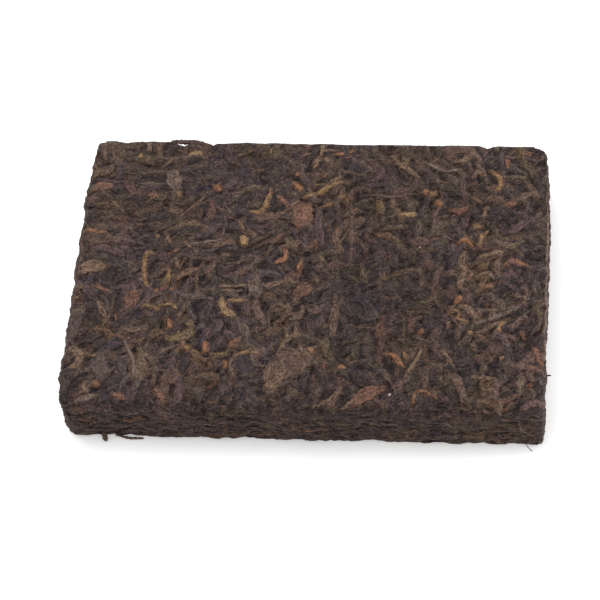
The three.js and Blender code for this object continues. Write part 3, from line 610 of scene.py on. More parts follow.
class Heap:
    """Leaves of one kind gathered into one mesh, with a tone and a place along the leaf for each corner."""

    def __init__(self):
        # open: how open each point lies, which sets the painted shade in the cracks
        self.points, self.faces, self.tones, self.places, self.open = [], [], [], [], []
        self.count = 0

    def add(self, grid, place, tone, bed, length):
        x, y, z = grid["x"], grid["y"], grid["z"]
        n, m = x.shape
        centre_x, centre_y = x.mean(axis=1), y.mean(axis=1)
        low = np.minimum(z, grid["under"]).min(axis=1) - 0.35
        foot_x, foot_y = ([middle + (side[:, k] - middle) * 0.8 for k in (m - 1, 0)]
                          for side, middle in ((x, centre_x), (y, centre_y)))
        ring_x = np.column_stack([x, *foot_x])
        ring_y = np.column_stack([y, *foot_y])
        ring_z = np.column_stack([z, low, low])
        size = m + 2
        self.points.append(place(ring_x.ravel(), ring_y.ravel(), ring_z.ravel()))
        # how open each point lies, which sets the painted shade in the cracks
        painted_shade_openness = bed.painted_shade_openness(ring_x, ring_y, ring_z)
        self.open.append(painted_shade_openness.ravel())
        fade = np.clip(1 - np.minimum(grid["u"], 1 - grid["u"]) / 0.16, 0, 1)[:, None] * 0.55
        blotch = 0.75 * np.clip(lattice_noise(ring_x, ring_y, 1.7, 23) * 2.4 - 1.15, 0, 1)
        mix = np.clip((fade + blotch) * grid["blend"], 0, 0.9).ravel()[:, None]
        self.tones.append(np.asarray(tone) * (1 - mix) + bed.ground * mix)
        across = np.concatenate([np.linspace(-1, 1, m), [0.8, -0.8]])
        along = grid["u"] * length
        sideways = (grid["half"][:, None] * across).ravel()
        self.places.append(np.stack([np.repeat(along, size), sideways], axis=1))
        i, j = np.meshgrid(np.arange(n - 1), np.arange(size), indexing="ij")
        a = self.count + i * size + j
        b = self.count + i * size + (j + 1) % size
        self.faces.append(np.stack([a, a + size, b + size, b], axis=-1).reshape(-1, 4))
        first = self.count + np.arange(size)
        last = first + (n - 1) * size
        self.faces.append(np.stack([first, last[::-1]]))
        self.count += n * size

    def mesh(self, name):
        points = np.vstack(self.points) * MM
        loops, starts, total = [], [], 0
        for part in self.faces:
            loops.append(part.ravel())
            starts.append(np.arange(len(part)) * part.shape[1] + total)
            total += part.size
        loops, starts = np.concatenate(loops), np.concatenate(starts)
        mesh = bpy.data.meshes.new(name)
        mesh.vertices.add(len(points))
        mesh.vertices.foreach_set("co", points.ravel())
        mesh.loops.add(len(loops))
        mesh.loops.foreach_set("vertex_index", loops.astype(np.int32))
        mesh.polygons.add(len(starts))
        mesh.polygons.foreach_set("loop_start", starts.astype(np.int32))
        mesh.update(calc_edges=True)
        mesh.validate()
        tone = mesh.color_attributes.new("leaf_tone", "FLOAT_COLOR", "POINT")
        rgba = np.ones((len(points), 4))
        rgba[:, :3] = np.vstack(self.tones)
        tone.data.foreach_set("color", rgba.ravel())
        # stored for the finish, which darkens the colour in the cracks as painted shade
        painted_shade_open = mesh.attributes.new("painted_shade_openness", "FLOAT", "POINT")
        painted_shade_open.data.foreach_set("value", np.concatenate(self.open))
        uv = mesh.uv_layers.new(name="along_leaf")
        corners = np.zeros(len(mesh.loops), dtype=np.int32)
        mesh.loops.foreach_get("vertex_index", corners)
        uv.data.foreach_set("uv", np.vstack(self.places)[corners].ravel())
        mesh.polygons.foreach_set("use_smooth", np.ones(len(mesh.polygons), dtype=bool))
        return mesh


# ---- laying the leaves down ----------------------------------------------------------------------

def nearness(x, y, spots):
    """1 in the middle of each spot, falling to 0 past its reach."""
    return [math.exp(-((x - spot[0]) ** 2 + (y - spot[1]) ** 2) / spot[2] ** 2) for spot in spots]


class Brick:
    """The three beds of the brick and the heaps of leaves pressed into them."""

    def __init__(self, sizes):
        self.sizes = sizes
        self.rng = random.Random(SEED)
        half_x, half_y = LENGTH / 2 + BED_MARGIN, DEPTH / 2 + BED_MARGIN
        self.top = Bed(half_x, half_y, -1.4, TOP_CEILINGS)
        self.wall = Bed(ROUND / 2, HEIGHT / 2 + BED_MARGIN / 4, -0.8, WALL_CEILINGS, wraps=True)
        self.under = Bed(half_x, half_y, -0.8, UNDER_CEILINGS)
        self.parts = []

    def palette(self):
        return self.pick(TONE_SHARES)

    def pick(self, shares):
        """One of the names, each as often as its share says."""
        return self.rng.choices(list(shares), list(shares.values()))[0]

    def calm(self, x, y):
        return min(1.0, sum(nearness(x, y, CALM)))

    def tone(self, name, x=0.0, y=0.0, blend=0.15):
        patch = 0.84 + 0.18 * float(lattice_noise(x, y, 22.0, 5)) + 0.20 * float(lattice_noise(x, y, 7.0, 6))
        # darker and lighter places: mostly tone, with painted shadow in the front left corner
        patch += sum(near * spot[3] for near, spot in zip(nearness(x, y, SHADES), SHADES))
        golden = max(-0.3, float(lattice_noise(x, y, 11.0, 8)) - 0.5 + self.rng.uniform(-0.25, 0.25))
        hue = 1 + golden * GOLDEN_CAST + self.rng.uniform(-1, 1) * GREEN_CAST
        colour = (1 - blend) * self.leaf_colour(name) + blend * self.leaf_colour("umber")
        return colour * hue * patch * self.rng.uniform(0.94, 1.08)

    def leaf_colour(self, name):
        return srgb_to_linear(TONES[name]) * np.array(self.sizes["leaf_tint"]) * self.sizes["brightness"]

    def heading(self, x, y):
        if x < -15 and y > 5 and self.rng.random() < 0.6:
            return self.rng.gauss(0, 0.3)
        flow = float(lattice_noise(x, y, 20.0, 3)) * 2 * math.pi
        return flow + self.rng.gauss(0, 0.75)

    def add(self, bed, kind, line, width, form, tone, place, lift=1.0, blend=1.0, least=0.16):
        grid = lay(bed, line, width, form, self.rng, tone, lift, least=least)
        grid["blend"] = blend
        length = float(np.linalg.norm(np.diff(line, axis=0), axis=1).sum())
        self.parts.append((kind, grid, place, tone, bed, length))

    def in_hollow(self, line):
        for hx, hy, half_length, half_width, angle in HOLLOWS:
            a = math.radians(angle)
            dx, dy = line[:, 0] - hx, line[:, 1] - hy
            p = (dx * math.cos(a) + dy * math.sin(a)) / (half_length + 0.4)
            q = (-dx * math.sin(a) + dy * math.cos(a)) / (half_width + 0.8)
            if np.any(p * p + q * q < 1):
                return True
        return False

    def bury(self, bed, count, half_x, half_y, flat=False):
        """Leaves that are only pressed in: they give the core its relief."""
        for _ in range(count):
            x, y = self.rng.uniform(-half_x, half_x), self.rng.uniform(-half_y, half_y)
            heading = self.rng.gauss(0, 0.12) if flat else self.heading(x, y)
            length = self.rng.uniform(5, 15)
            line = wandering(self.rng, x, y, heading, length, self.rng.uniform(-0.9, 0.9) * (not flat), 1.1)
            width = self.rng.uniform(0.9, 2.0)
            lay(bed, line, width, "rolled", self.rng, self.tone(self.palette(), x, y), keep=False)

    def cover_top(self):
        bed = self.top
        self.bury(bed, BURIED["top"], LENGTH / 2 + 1, DEPTH / 2 + 1)
        bed.ceiling = bed.ceilings["leaves"]
        count = self.sizes["top_leaves"]
        for n in range(count):
            x, y = self.rng.uniform(-77.5, 77.5), self.rng.uniform(-52.5, 52.5)
            share = n / count
            calm = self.calm(x, y)
            form = self.pick(CALM_FORMS if calm > 0.5 else TOP_FORMS)
            if form == "open":
                length, width = self.rng.uniform(5, 11), self.rng.uniform(2.6, 5.5)
            elif form == "crushed":
                length, width = self.rng.uniform(4, 12), self.rng.uniform(1.7, 4.2)
            else:
                length = self.rng.uniform(6, 18) * (1.0 - 0.25 * share)
                width = self.rng.uniform(1.0, 2.8) * self.rng.uniform(0.85, 1.1)
            curly = self.rng.random() < 0.16
            if curly:
                bend = self.rng.uniform(1.6, 3.6) * self.rng.choice((-1, 1))
            else:
                bend = self.rng.uniform(-1.0, 1.0)
            line = wandering(self.rng, x, y, self.heading(x, y), length, bend, 0.95)
            if share > 0.35 and self.in_hollow(line):
                continue
            name = self.palette()
            tone = self.tone(name, x, y, 0.15 + 0.35 * calm)
            if form == "open":
                kind = "open_leaves"
            elif form == "crushed":
                kind = "crushed_leaves"
            else:
                kind = "dark_leaves" if name in DARK_TONES else "brown_leaves"
            self.add(bed, kind, line, width, form, tone, TOP, (1 - 0.6 * calm) * self.rng.uniform(0.75, 1.15))

    def crumble_edges(self):
        """Short broken leaves along the four upper edges, two thirds of them over the front one."""
        for _ in range(self.sizes["edge_leaves"]):
            draw = self.rng.random()
            if draw < 0.68:
                x, y = self.rng.uniform(-75, 75), -self.rng.triangular(44.5, 57, 51.0)
            elif draw < 0.82:
                x, y = self.rng.uniform(-75, 75), self.rng.uniform(48, 51.5)
            else:
                x, y = self.rng.choice((-1, 1)) * self.rng.uniform(72.5, 77), self.rng.uniform(-50, 50)
            length, width = self.rng.uniform(2.5, 8), self.rng.uniform(0.9, 2.1)
            form = self.rng.choice(("rolled", "folded", "crushed"))
            heading = self.rng.uniform(0, FULL_TURN)
            line = wandering(self.rng, x, y, heading, length, self.rng.uniform(-2.4, 2.4), 0.9)
            if self.in_hollow(line):
                continue
            tone = self.tone(self.palette(), x, y)
            self.add(self.top, "edge_leaves", line, width, form, tone, TOP, self.rng.uniform(0.9, 1.5))

    def lay_strands(self):
        """The uppermost rolled leaves: each lies mostly clear of the others, so its whole length shows."""
        bed = self.top
        bed.ceiling = bed.ceilings["strands"]
        taken = np.zeros((160, 110), dtype=bool)     # squares of 1 mm that a strand covers
        middle, last = (80, 55), (159, 109)
        for _ in range(self.sizes["strands"] * 3):
            x, y = self.rng.uniform(-74, 74), self.rng.uniform(-50, 50)
            calm = self.calm(x, y)
            if self.rng.random() < 0.75 * calm:
                continue
            length = self.rng.triangular(4, 16, 7)
            width = self.rng.uniform(1.7, 3.3) * (0.85 + length / 60)
            most = 1.4 if self.rng.random() < 0.5 else 4.2
            bend = self.rng.uniform(-most, most)
            line = wandering(self.rng, x, y, self.heading(x, y), length, bend, 0.9)
            cells = np.clip(np.floor(line).astype(int) + middle, 0, last)
            if taken[cells[:, 0], cells[:, 1]].mean() > 0.25 or self.in_hollow(line):
                continue
            for step in ((0, 0), (1, 0), (-1, 0), (0, 1), (0, -1)):
                near = np.clip(cells + step, 0, last)
                taken[near[:, 0], near[:, 1]] = True
            name, form = self.pick(STRAND_SHARES), self.pick(STRAND_FORMS)
            lift = self.rng.uniform(1.1, 1.6) * (1 - 0.6 * calm)
            self.add(bed, "strands", line, width, form, self.tone(name, x, y), TOP, lift, 0.8, 0.25)

    def scatter_stems(self):
        for _ in range(self.sizes["stems"]):
            x, y = self.rng.uniform(-72, 72), self.rng.uniform(-48, 48)
            length, width = self.rng.uniform(5, 18), self.rng.uniform(0.5, 1.0)
            line = wandering(self.rng, x, y, self.heading(x, y), length, self.rng.uniform(-0.5, 0.5), 1.5)
            if self.in_hollow(line):
                continue
            tone = self.tone(self.rng.choice(STEM_TONES), x, y)
            self.add(self.top, "stems", line, width, "stem", tone, TOP)
        for _ in range(self.sizes["crumbs"]):
            x, y = self.rng.uniform(-75, 75), self.rng.uniform(-50, 50)
            heading = self.rng.uniform(0, FULL_TURN)
            line = wandering(self.rng, x, y, heading, self.rng.uniform(1.5, 4.0), 0.6, 1.0)
            tone = self.tone(self.palette(), x, y) * self.rng.uniform(0.9, 1.25)
            self.add(self.top, "crumbs", line, self.rng.uniform(0.35, 0.8), "stem", tone, TOP)

    def place_leaves(self):
        """Leaves with a place of their own lie on top of the rest."""
        self.top.ceiling = self.top.ceilings["placed"]
        for name, x, y, length, width, angle in OPEN_LEAVES:
            a = math.radians(angle)
            half = np.array([math.cos(a), math.sin(a)]) * length / 2
            bow = np.array([-math.sin(a), math.cos(a)]) * 0.06 * length
            centre = np.array([x, y])
            line = through([centre - half, centre + bow, centre + half], 0.9)
            tone = self.leaf_colour(name) * self.rng.uniform(0.95, 1.05) * PLACED_LIGHT
            self.add(self.top, "open_leaves", line, width, "open", tone, TOP, 1.3, 0.45, 0.45)
        for name, width, *numbers in STRANDS:
            points = list(zip(numbers[::2], numbers[1::2]))
            line = through(points, 0.8)
            if name in BUD_TONES:
                kind, form, wider = "golden_buds", "folded", BUD_WIDTH
            elif width < THIN:
                kind, form, wider = "stems", "stem", PLACED_WIDTH
            else:
                kind, form, wider = "placed_leaves", "rolled", PLACED_WIDTH
            tone = self.leaf_colour(name) * self.rng.uniform(0.95, 1.05) * PLACED_LIGHT
            self.add(self.top, kind, line, width * wider, form, tone, TOP, 1.25, 0.7, 0.45)

    def cover_wall(self):
        bed = self.wall
        self.bury(bed, BURIED["wall"], ROUND / 2, HEIGHT / 2, flat=True)
        bed.ceiling = bed.ceilings["leaves"]
        for _ in range(self.sizes["wall_leaves"]):
            s, t = self.rng.uniform(-ROUND / 2, ROUND / 2), self.rng.uniform(-9.8, 8.6)
            length, width = self.rng.uniform(3, 12), self.rng.uniform(0.4, 1.05)
            heading = self.rng.gauss(0, 0.16)
            line = wandering(self.rng, s, t, heading, length, self.rng.uniform(-0.4, 0.4), 1.3)
            tone = self.tone(self.palette(), s, t) * 0.5 + self.leaf_colour("umber") * 0.5
            self.add(bed, "wall_layers", line, width, "layer", tone, WALL, self.rng.uniform(0.5, 1.0))
        for name, width, *numbers in WALL_STRANDS:
            stops = [(x + INNER_X - ROUND / 2, z - HEIGHT / 2) for x, z in zip(numbers[::2], numbers[1::2])]
            line = through(stops, 1.0)
            self.add(bed, "wall_layers", line, width, "layer", self.leaf_colour(name), WALL, 1.6, 0.7)
        for _ in range(self.sizes["crumbs"] // 2):
            s, t = self.rng.uniform(-ROUND / 2, ROUND / 2), self.rng.triangular(-10, 10, 6)
            line = wandering(self.rng, s, t, self.rng.gauss(0, 0.9), self.rng.uniform(1.5, 5), 0.9, 1.0)
            tone = self.tone(self.palette(), s, t)
            self.add(bed, "wall_layers", line, self.rng.uniform(0.4, 1.3), "layer", tone, WALL, 1.7)

    def cover_underside(self):
        bed = self.under
        self.bury(bed, BURIED["under"], LENGTH / 2 + 1, DEPTH / 2 + 1)
        bed.ceiling = bed.ceilings["leaves"]
        for _ in range(self.sizes["under_leaves"]):
            x, y = self.rng.uniform(-76, 76), self.rng.uniform(-51, 51)
            length, width = self.rng.uniform(7, 17), self.rng.uniform(1.4, 3.2)
            line = wandering(self.rng, x, y, self.heading(x, y), length, self.rng.uniform(-0.9, 0.9), 1.8)
            tone = self.tone(self.palette(), x, y)
            self.add(bed, "underside_leaves", line, width, "layer", tone, UNDER)

    def press_all(self):
        self.cover_wall()
        self.cover_underside()
        self.cover_top()
        self.crumble_edges()
        self.scatter_stems()
        self.lay_strands()
        self.place_leaves()
        for bed in (self.top, self.wall, self.under):
            bed.settle()

    def heap(self, *kinds):
        heap = Heap()
        for kind, grid, place, tone, bed, length in self.parts:
            if kind in kinds:
                heap.add(grid, place, tone, bed, length)
        return heap


def TOP(x, y, h):
    return weather(over_face(x, y, h, 1))


def UNDER(x, y, h):
    return weather(over_face(-x, y, h, -1))


def WALL(s, t, h):
    return weather(round_wall(s, t, h))


def slab(cell):
    """Points and faces of a closed box, with close grid lines where its edges are to be rounded."""
    sheets, quads, count = [], [], 0

    def stops(inner):
        steps = max(2, int(round(2 * inner / cell)))
        edge = np.linspace(0, EDGE, 4)[1:]
        return np.concatenate([-inner - edge[::-1], np.linspace(-inner, inner, steps + 1), inner + edge])

    lines = [stops(INNER_X), stops(INNER_Y), stops(INNER_Z)]
    outer = [LENGTH / 2, DEPTH / 2, HEIGHT / 2]
    for axis in range(3):
        p, q = (axis + 1) % 3, (axis + 2) % 3
        for sign in (-1, 1):
            gp, gq = np.meshgrid(lines[p], lines[q], indexing="ij")
            sheet = np.zeros((gp.size, 3))
            sheet[:, axis] = sign * outer[axis]
            sheet[:, p], sheet[:, q] = gp.ravel(), gq.ravel()
            rows, columns = gp.shape
            i, j = np.meshgrid(np.arange(rows - 1), np.arange(columns - 1), indexing="ij")
            a = (i * columns + j).ravel() + count
            face = np.stack([a, a + columns, a + columns + 1, a + 1], axis=1)
            quads.append(face if sign > 0 else face[:, ::-1])
            sheets.append(sheet)
            count += len(sheet)
    points, faces = np.vstack(sheets), np.vstack(quads)
    keys = np.round(points * 1000).astype(np.int64)
    _, first, back = np.unique(keys, axis=0, return_index=True, return_inverse=True)
    return points[first], back.reshape(-1)[faces]


def core_mesh(brick, cell):
    """Closed slab under the leaves, its surface raised by the buried leaves of all three beds."""
    points, faces = slab(cell)
    inner = np.array([INNER_X, INNER_Y, INNER_Z])
    q = np.clip(points, -inner, inner)
    n = points - q
    n /= np.linalg.norm(n, axis=1, keepdims=True)
    flat = np.maximum(np.hypot(n[:, 0], n[:, 1]), 1e-9)
    tip = np.arctan2(flat, np.abs(n[:, 2])) * EDGE * (flat > 1e-6)
    fx, fy = q[:, 0] + n[:, 0] / flat * tip, q[:, 1] + n[:, 1] / flat * tip
    turn = np.mod(np.arctan2(n[:, 0], -n[:, 1]) + 1e-9, 2 * math.pi)
    side = np.floor(turn / (math.pi / 2)).astype(int) % 4
    walked = np.choose(side, [q[:, 0] + INNER_X, q[:, 1] + INNER_Y, INNER_X - q[:, 0], INNER_Y - q[:, 1]])
    s = WALL_STOPS[2 * side] + walked + (turn - side * math.pi / 2) * EDGE - ROUND / 2
    bent = np.abs(q[:, 2]) >= INNER_Z - 1e-6
    t = q[:, 2] + np.sign(n[:, 2]) * EDGE * np.arcsin(np.clip(np.abs(n[:, 2]), 0, 1)) * bent
    steep = np.clip((np.abs(n[:, 2]) - 0.35) / 0.5, 0, 1)
    weights = {brick.top: steep * (n[:, 2] > 0), brick.under: steep * (n[:, 2] < 0), brick.wall: 1 - steep}
    # the core is darkened in its cracks as painted shade too
    h, tone, painted_shade_open = np.zeros(len(points)), np.zeros((len(points), 3)), np.zeros(len(points))
    for bed, weight in weights.items():
        ax, ay = (s, t) if bed is brick.wall else (fx if bed is brick.top else -fx, fy)
        cells = bed.cells(ax, ay)
        here = bed.height[cells]
        h += weight * here
        tone += weight[:, None] * bed.tone[cells]
        painted_shade_open += weight * bed.painted_shade_openness(ax, ay, here)
    h -= CORE_SINK
    placed = q + n * (EDGE + h)[:, None]
    placed[:, 2] += HEIGHT / 2
    heap = Heap()
    heap.points, heap.faces, heap.tones = [weather(placed)], [faces], [tone]
    heap.places, heap.open = [np.stack([fx, fy], axis=1)], [painted_shade_open]
    return heap.mesh("pressed_core")


# ---- finishes --------------------------------------------------------------------------------------

VEIN_STRETCH = (0.45, 2.4, 1.0)
SPECK_SCALE = 1300.0
PATCH_SCALE = 80.0
DARK_CAST = (0.31, 0.285, 0.33, 1.0)
LIGHT_CAST = (1.96, 1.93, 1.61, 1.0)


def node(tree, kind, **settings):
    """Adds a node; a setting is one of its properties or, failing that, the value of an input."""
    made = tree.nodes.new(kind)
    for key, value in settings.items():
        if hasattr(made, key):
            setattr(made, key, value)
        else:
            made.inputs[key.replace("_", " ")].default_value = value
    return made


def leaf_finish(name, roughness, streak, mottle, bump, specular):
    """Dry leaf: its own tone, streaked along the leaf, mottled, and darkened down in the cracks as painted
    shade.
    """
    material = bpy.data.materials.new(name)
    material.use_nodes = True
    tree = material.node_tree
    link = tree.links.new
    shader = tree.nodes["Principled BSDF"]
    tone = node(tree, "ShaderNodeAttribute", attribute_name="leaf_tone")
    painted_shade_open = node(tree, "ShaderNodeAttribute", attribute_name="painted_shade_openness")
    where = node(tree, "ShaderNodeTexCoord")
    along = node(tree, "ShaderNodeUVMap", uv_map="along_leaf")
    stretch = node(tree, "ShaderNodeMapping")
    stretch.inputs["Scale"].default_value = VEIN_STRETCH
    link(along.outputs["UV"], stretch.inputs["Vector"])
    veins = node(tree, "ShaderNodeTexNoise", Scale=1.0, Detail=2.0, Roughness=0.6)
    link(stretch.outputs["Vector"], veins.inputs["Vector"])
    specks = node(tree, "ShaderNodeTexNoise", Scale=SPECK_SCALE, Detail=2.5, Roughness=0.65)
    link(where.outputs["Object"], specks.inputs["Vector"])
    patches = node(tree, "ShaderNodeTexNoise", Scale=PATCH_SCALE, Detail=1.0, Roughness=0.4)
    link(where.outputs["Object"], patches.inputs["Vector"])

    def ranged(source, low, high, start=0.3, stop=0.7):
        """Maps start..stop of the source to low..high."""
        made = node(tree, "ShaderNodeMapRange")
        made.inputs["From Min"].default_value = start
        made.inputs["From Max"].default_value = stop
        made.inputs["To Min"].default_value = low
        made.inputs["To Max"].default_value = high
        link(source, made.inputs["Value"])
        return made.outputs["Result"]

    light = node(tree, "ShaderNodeMath", operation="MULTIPLY_ADD")
    link(ranged(veins.outputs["Fac"], -streak, streak, 0.36, 0.64), light.inputs[0])
    light.inputs[1].default_value = 1.0
    link(ranged(specks.outputs["Fac"], 0.5 - mottle, 0.5 + mottle, 0.38, 0.62), light.inputs[2])
    patch = node(tree, "ShaderNodeMath", operation="MULTIPLY_ADD")
    link(ranged(patches.outputs["Fac"], -0.10, 0.10), patch.inputs[0])
    patch.inputs[1].default_value = 1.0
    link(light.outputs[0], patch.inputs[2])
    tint = node(tree, "ShaderNodeMix", data_type="RGBA", blend_type="MIX")
    link(patch.outputs[0], tint.inputs["Factor"])
    tint.inputs[6].default_value = DARK_CAST
    tint.inputs[7].default_value = LIGHT_CAST
    tinted = node(tree, "ShaderNodeVectorMath", operation="MULTIPLY")
    link(tone.outputs["Color"], tinted.inputs[0])
    link(tint.outputs[2], tinted.inputs[1])
    # painted shade: the colour is darkened down in the cracks, by how open each point lies
    painted_crack_shade = node(tree, "ShaderNodeVectorMath", operation="SCALE")
    link(tinted.outputs["Vector"], painted_crack_shade.inputs[0])
    link(ranged(painted_shade_open.outputs["Fac"], 0.50, 1.05, 0.15, 0.95), painted_crack_shade.inputs["Scale"])
    link(painted_crack_shade.outputs["Vector"], shader.inputs["Base Color"])
    link(ranged(specks.outputs["Fac"], roughness - 0.1, roughness + 0.12), shader.inputs["Roughness"])
    shader.inputs["Specular IOR Level"].default_value = specular
    grain = node(tree, "ShaderNodeMath", operation="MULTIPLY_ADD")
    link(veins.outputs["Fac"], grain.inputs[0])
    grain.inputs[1].default_value = 1.2
    link(specks.outputs["Fac"], grain.inputs[2])
    relief = node(tree, "ShaderNodeBump", Strength=1.0, Distance=bump * MM)
    link(grain.outputs[0], relief.inputs["Height"])
    link(relief.outputs["Normal"], shader.inputs["Normal"])
    return material


FINISHES = {
    "pressed_leaf": dict(roughness=0.78, streak=0.20, mottle=0.37, bump=0.40, specular=0.18),
    "dark_leaf": dict(roughness=0.70, streak=0.36, mottle=0.35, bump=0.45, specular=0.20),
    "open_leaf": dict(roughness=0.74, streak=0.24, mottle=0.32, bump=0.40, specular=0.20),
    "stem": dict(roughness=0.65, streak=0.28, mottle=0.26, bump=0.20, specular=0.25),
    "golden_tip": dict(roughness=0.80, streak=0.36, mottle=0.22, bump=0.34, specular=0.20),
}


def finish_of(slot):
    name = "tea_" + slot
    return bpy.data.materials.get(name) or leaf_finish(name, **FINISHES[slot])


def show(mesh, name, slot):
    piece = bpy.data.objects.new(name, mesh)
    bpy.context.scene.collection.objects.link(piece)
    mesh.materials.append(finish_of(slot))
    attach(piece, "root")
    return piece


# ---- settings ----------------------------------------------------------------------------------------

def count_of(name, description, default):
    return bpy.props.IntProperty(name=name, description=description, default=default, min=0)


def colour_of(name, description, default):
    return bpy.props.FloatVectorProperty(name=name, description=description, default=default, size=3,
                                         subtype="COLOR")


def size_of(name, description, default, unit="NONE"):
    return bpy.props.FloatProperty(name=name, description=description, default=default, min=0.0, unit=unit)


class TeaSizes(bpy.types.PropertyGroup):
    top_leaves: count_of("Top leaves", "Leaves laid over the top", 1050)
    wall_leaves: count_of("Wall layers", "Thin layers on the walls", 1300)
    under_leaves: count_of("Underside leaves", "Leaves on the underside", 620)
    edge_leaves: count_of("Edge leaves", "Broken leaves over the edges", 420)
    strands: count_of("Strands", "The uppermost rolled leaves: three places are tried for each", 420)
    stems: count_of("Stems", "Thin stems over the top", 80)
    crumbs: count_of("Crumbs", "Broken bits over the top", 560)
    core_cell: bpy.props.FloatProperty(name="Core cell", description="Grid step of the core, in millimetres",
                                       default=0.75, min=0.4)
    brightness: bpy.props.FloatProperty(name="Brightness", description="Lightens or darkens all leaves",
                                        default=0.745, min=0.1, soft_max=2.0, subtype="FACTOR")
    leaf_tint: colour_of("Leaf tint", "Colour cast of all leaves", (0.90, 0.824, 0.98))


class StageSizes(bpy.types.PropertyGroup):
    floor_size: size_of("Floor", "Side of the floor", 4.0, "LENGTH")
    floor_colour: colour_of("Floor colour", "Pale floor", (0.86, 0.86, 0.86))
    floor_glow: size_of("Floor glow", "Light given off by the floor", 0.30)
    sky: size_of("Fill light", "Even light from all round", 0.95)
    key_power: size_of("Key light", "Soft light from high over the back left", 5.0, "POWER")
    key_size: size_of("Key size", "Width of the key light", 0.8, "LENGTH")
    rim_power: size_of("Rim light", "Low light along the right wall", 4.0, "POWER")


PRESSED = {}


def pressed_brick(context):
    """The brick with all its leaves laid, made once for all the operators."""
    if "brick" not in PRESSED:
        settings = context.scene.tea_sizes
        sizes = {name: getattr(settings, name) for name in TeaSizes.__annotations__}
        brick = Brick(dict(sizes, leaf_tint=tuple(settings.leaf_tint)))
        brick.press_all()
        PRESSED["brick"] = brick
    return PRESSED["brick"]


class TeaPiece:
    """Shared by the operators: makes one heap of leaves into one piece."""

    bl_options = {"REGISTER", "UNDO"}
    piece = ""
    kinds = ()
    slot = "dark_leaf"

    def execute(self, context):
        heap = pressed_brick(context).heap(*self.kinds)
        show(heap.mesh(self.piece), self.piece, self.slot)
        return {"FINISHED"}


class TEA_OT_core(bpy.types.Operator):
    """Slab of buried leaves under the ones that show"""

    bl_idname = "tea.core"
    bl_label = "Pressed core"

    def execute(self, context):
        brick = pressed_brick(context)
        core = show(core_mesh(brick, brick.sizes["core_cell"]), "pressed_core", "pressed_leaf")
        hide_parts("tea_brick")
        return {"FINISHED"}


class TEA_OT_dark_leaves(TeaPiece, bpy.types.Operator):
    """Dark rolled leaves over the top"""

    bl_idname = "tea.dark_leaves"
    bl_label = "Dark leaves"
    piece, kinds, slot = "dark_leaves", ("dark_leaves",), "dark_leaf"


class TEA_OT_brown_leaves(TeaPiece, bpy.types.Operator):
    """Brown rolled leaves over the top"""

    bl_idname = "tea.brown_leaves"
    bl_label = "Brown leaves"
    piece, kinds, slot = "brown_leaves", ("brown_leaves", "edge_leaves"), "dark_leaf"


class TEA_OT_strands(TeaPiece, bpy.types.Operator):
    """Uppermost rolled leaves whose whole length shows"""

    bl_idname = "tea.strands"
    bl_label = "Rolled strands"
    piece, kinds, slot = "rolled_strands", ("strands", "placed_leaves"), "dark_leaf"


class TEA_OT_open_leaves(TeaPiece, bpy.types.Operator):
    """Open leaves pressed flat"""

    bl_idname = "tea.open_leaves"
    bl_label = "Open leaves"
    piece, kinds, slot = "open_leaves", ("open_leaves",), "open_leaf"


class TEA_OT_crushed_leaves(TeaPiece, bpy.types.Operator):
    """Leaves crushed flat and creased lengthwise"""

    bl_idname = "tea.crushed_leaves"
    bl_label = "Crushed leaves"
    piece, kinds, slot = "crushed_leaves", ("crushed_leaves",), "dark_leaf"


class TEA_OT_stems(TeaPiece, bpy.types.Operator):
    """Thin stems and broken bits"""

    bl_idname = "tea.stems"
    bl_label = "Stems and crumbs"
    piece, kinds, slot = "stems_and_crumbs", ("stems", "crumbs"), "stem"


class TEA_OT_buds(TeaPiece, bpy.types.Operator):
    """Golden buds and tips"""

    bl_idname = "tea.buds"
    bl_label = "Golden buds"
    piece, kinds, slot = "golden_buds", ("golden_buds",), "golden_tip"


class TEA_OT_wall_layers(TeaPiece, bpy.types.Operator):
    """Thin layers of leaf seen edge-on round the walls"""

    bl_idname = "tea.wall_layers"
    bl_label = "Wall layers"
    piece, kinds, slot = "wall_layers", ("wall_layers",), "dark_leaf"


class TEA_OT_underside(TeaPiece, bpy.types.Operator):
    """Leaves pressed flat on the underside"""

    bl_idname = "tea.underside"
    bl_label = "Underside leaves"
    piece, kinds, slot = "underside_leaves", ("underside_leaves",), "dark_leaf"


def in_edit_mode(operator, **settings):
    """Runs a mesh operator on all of the active piece."""
    bpy.ops.object.mode_set(mode="EDIT")
    bpy.ops.mesh.select_all(action="SELECT")
    operator(**settings)
    bpy.ops.object.mode_set(mode="OBJECT")


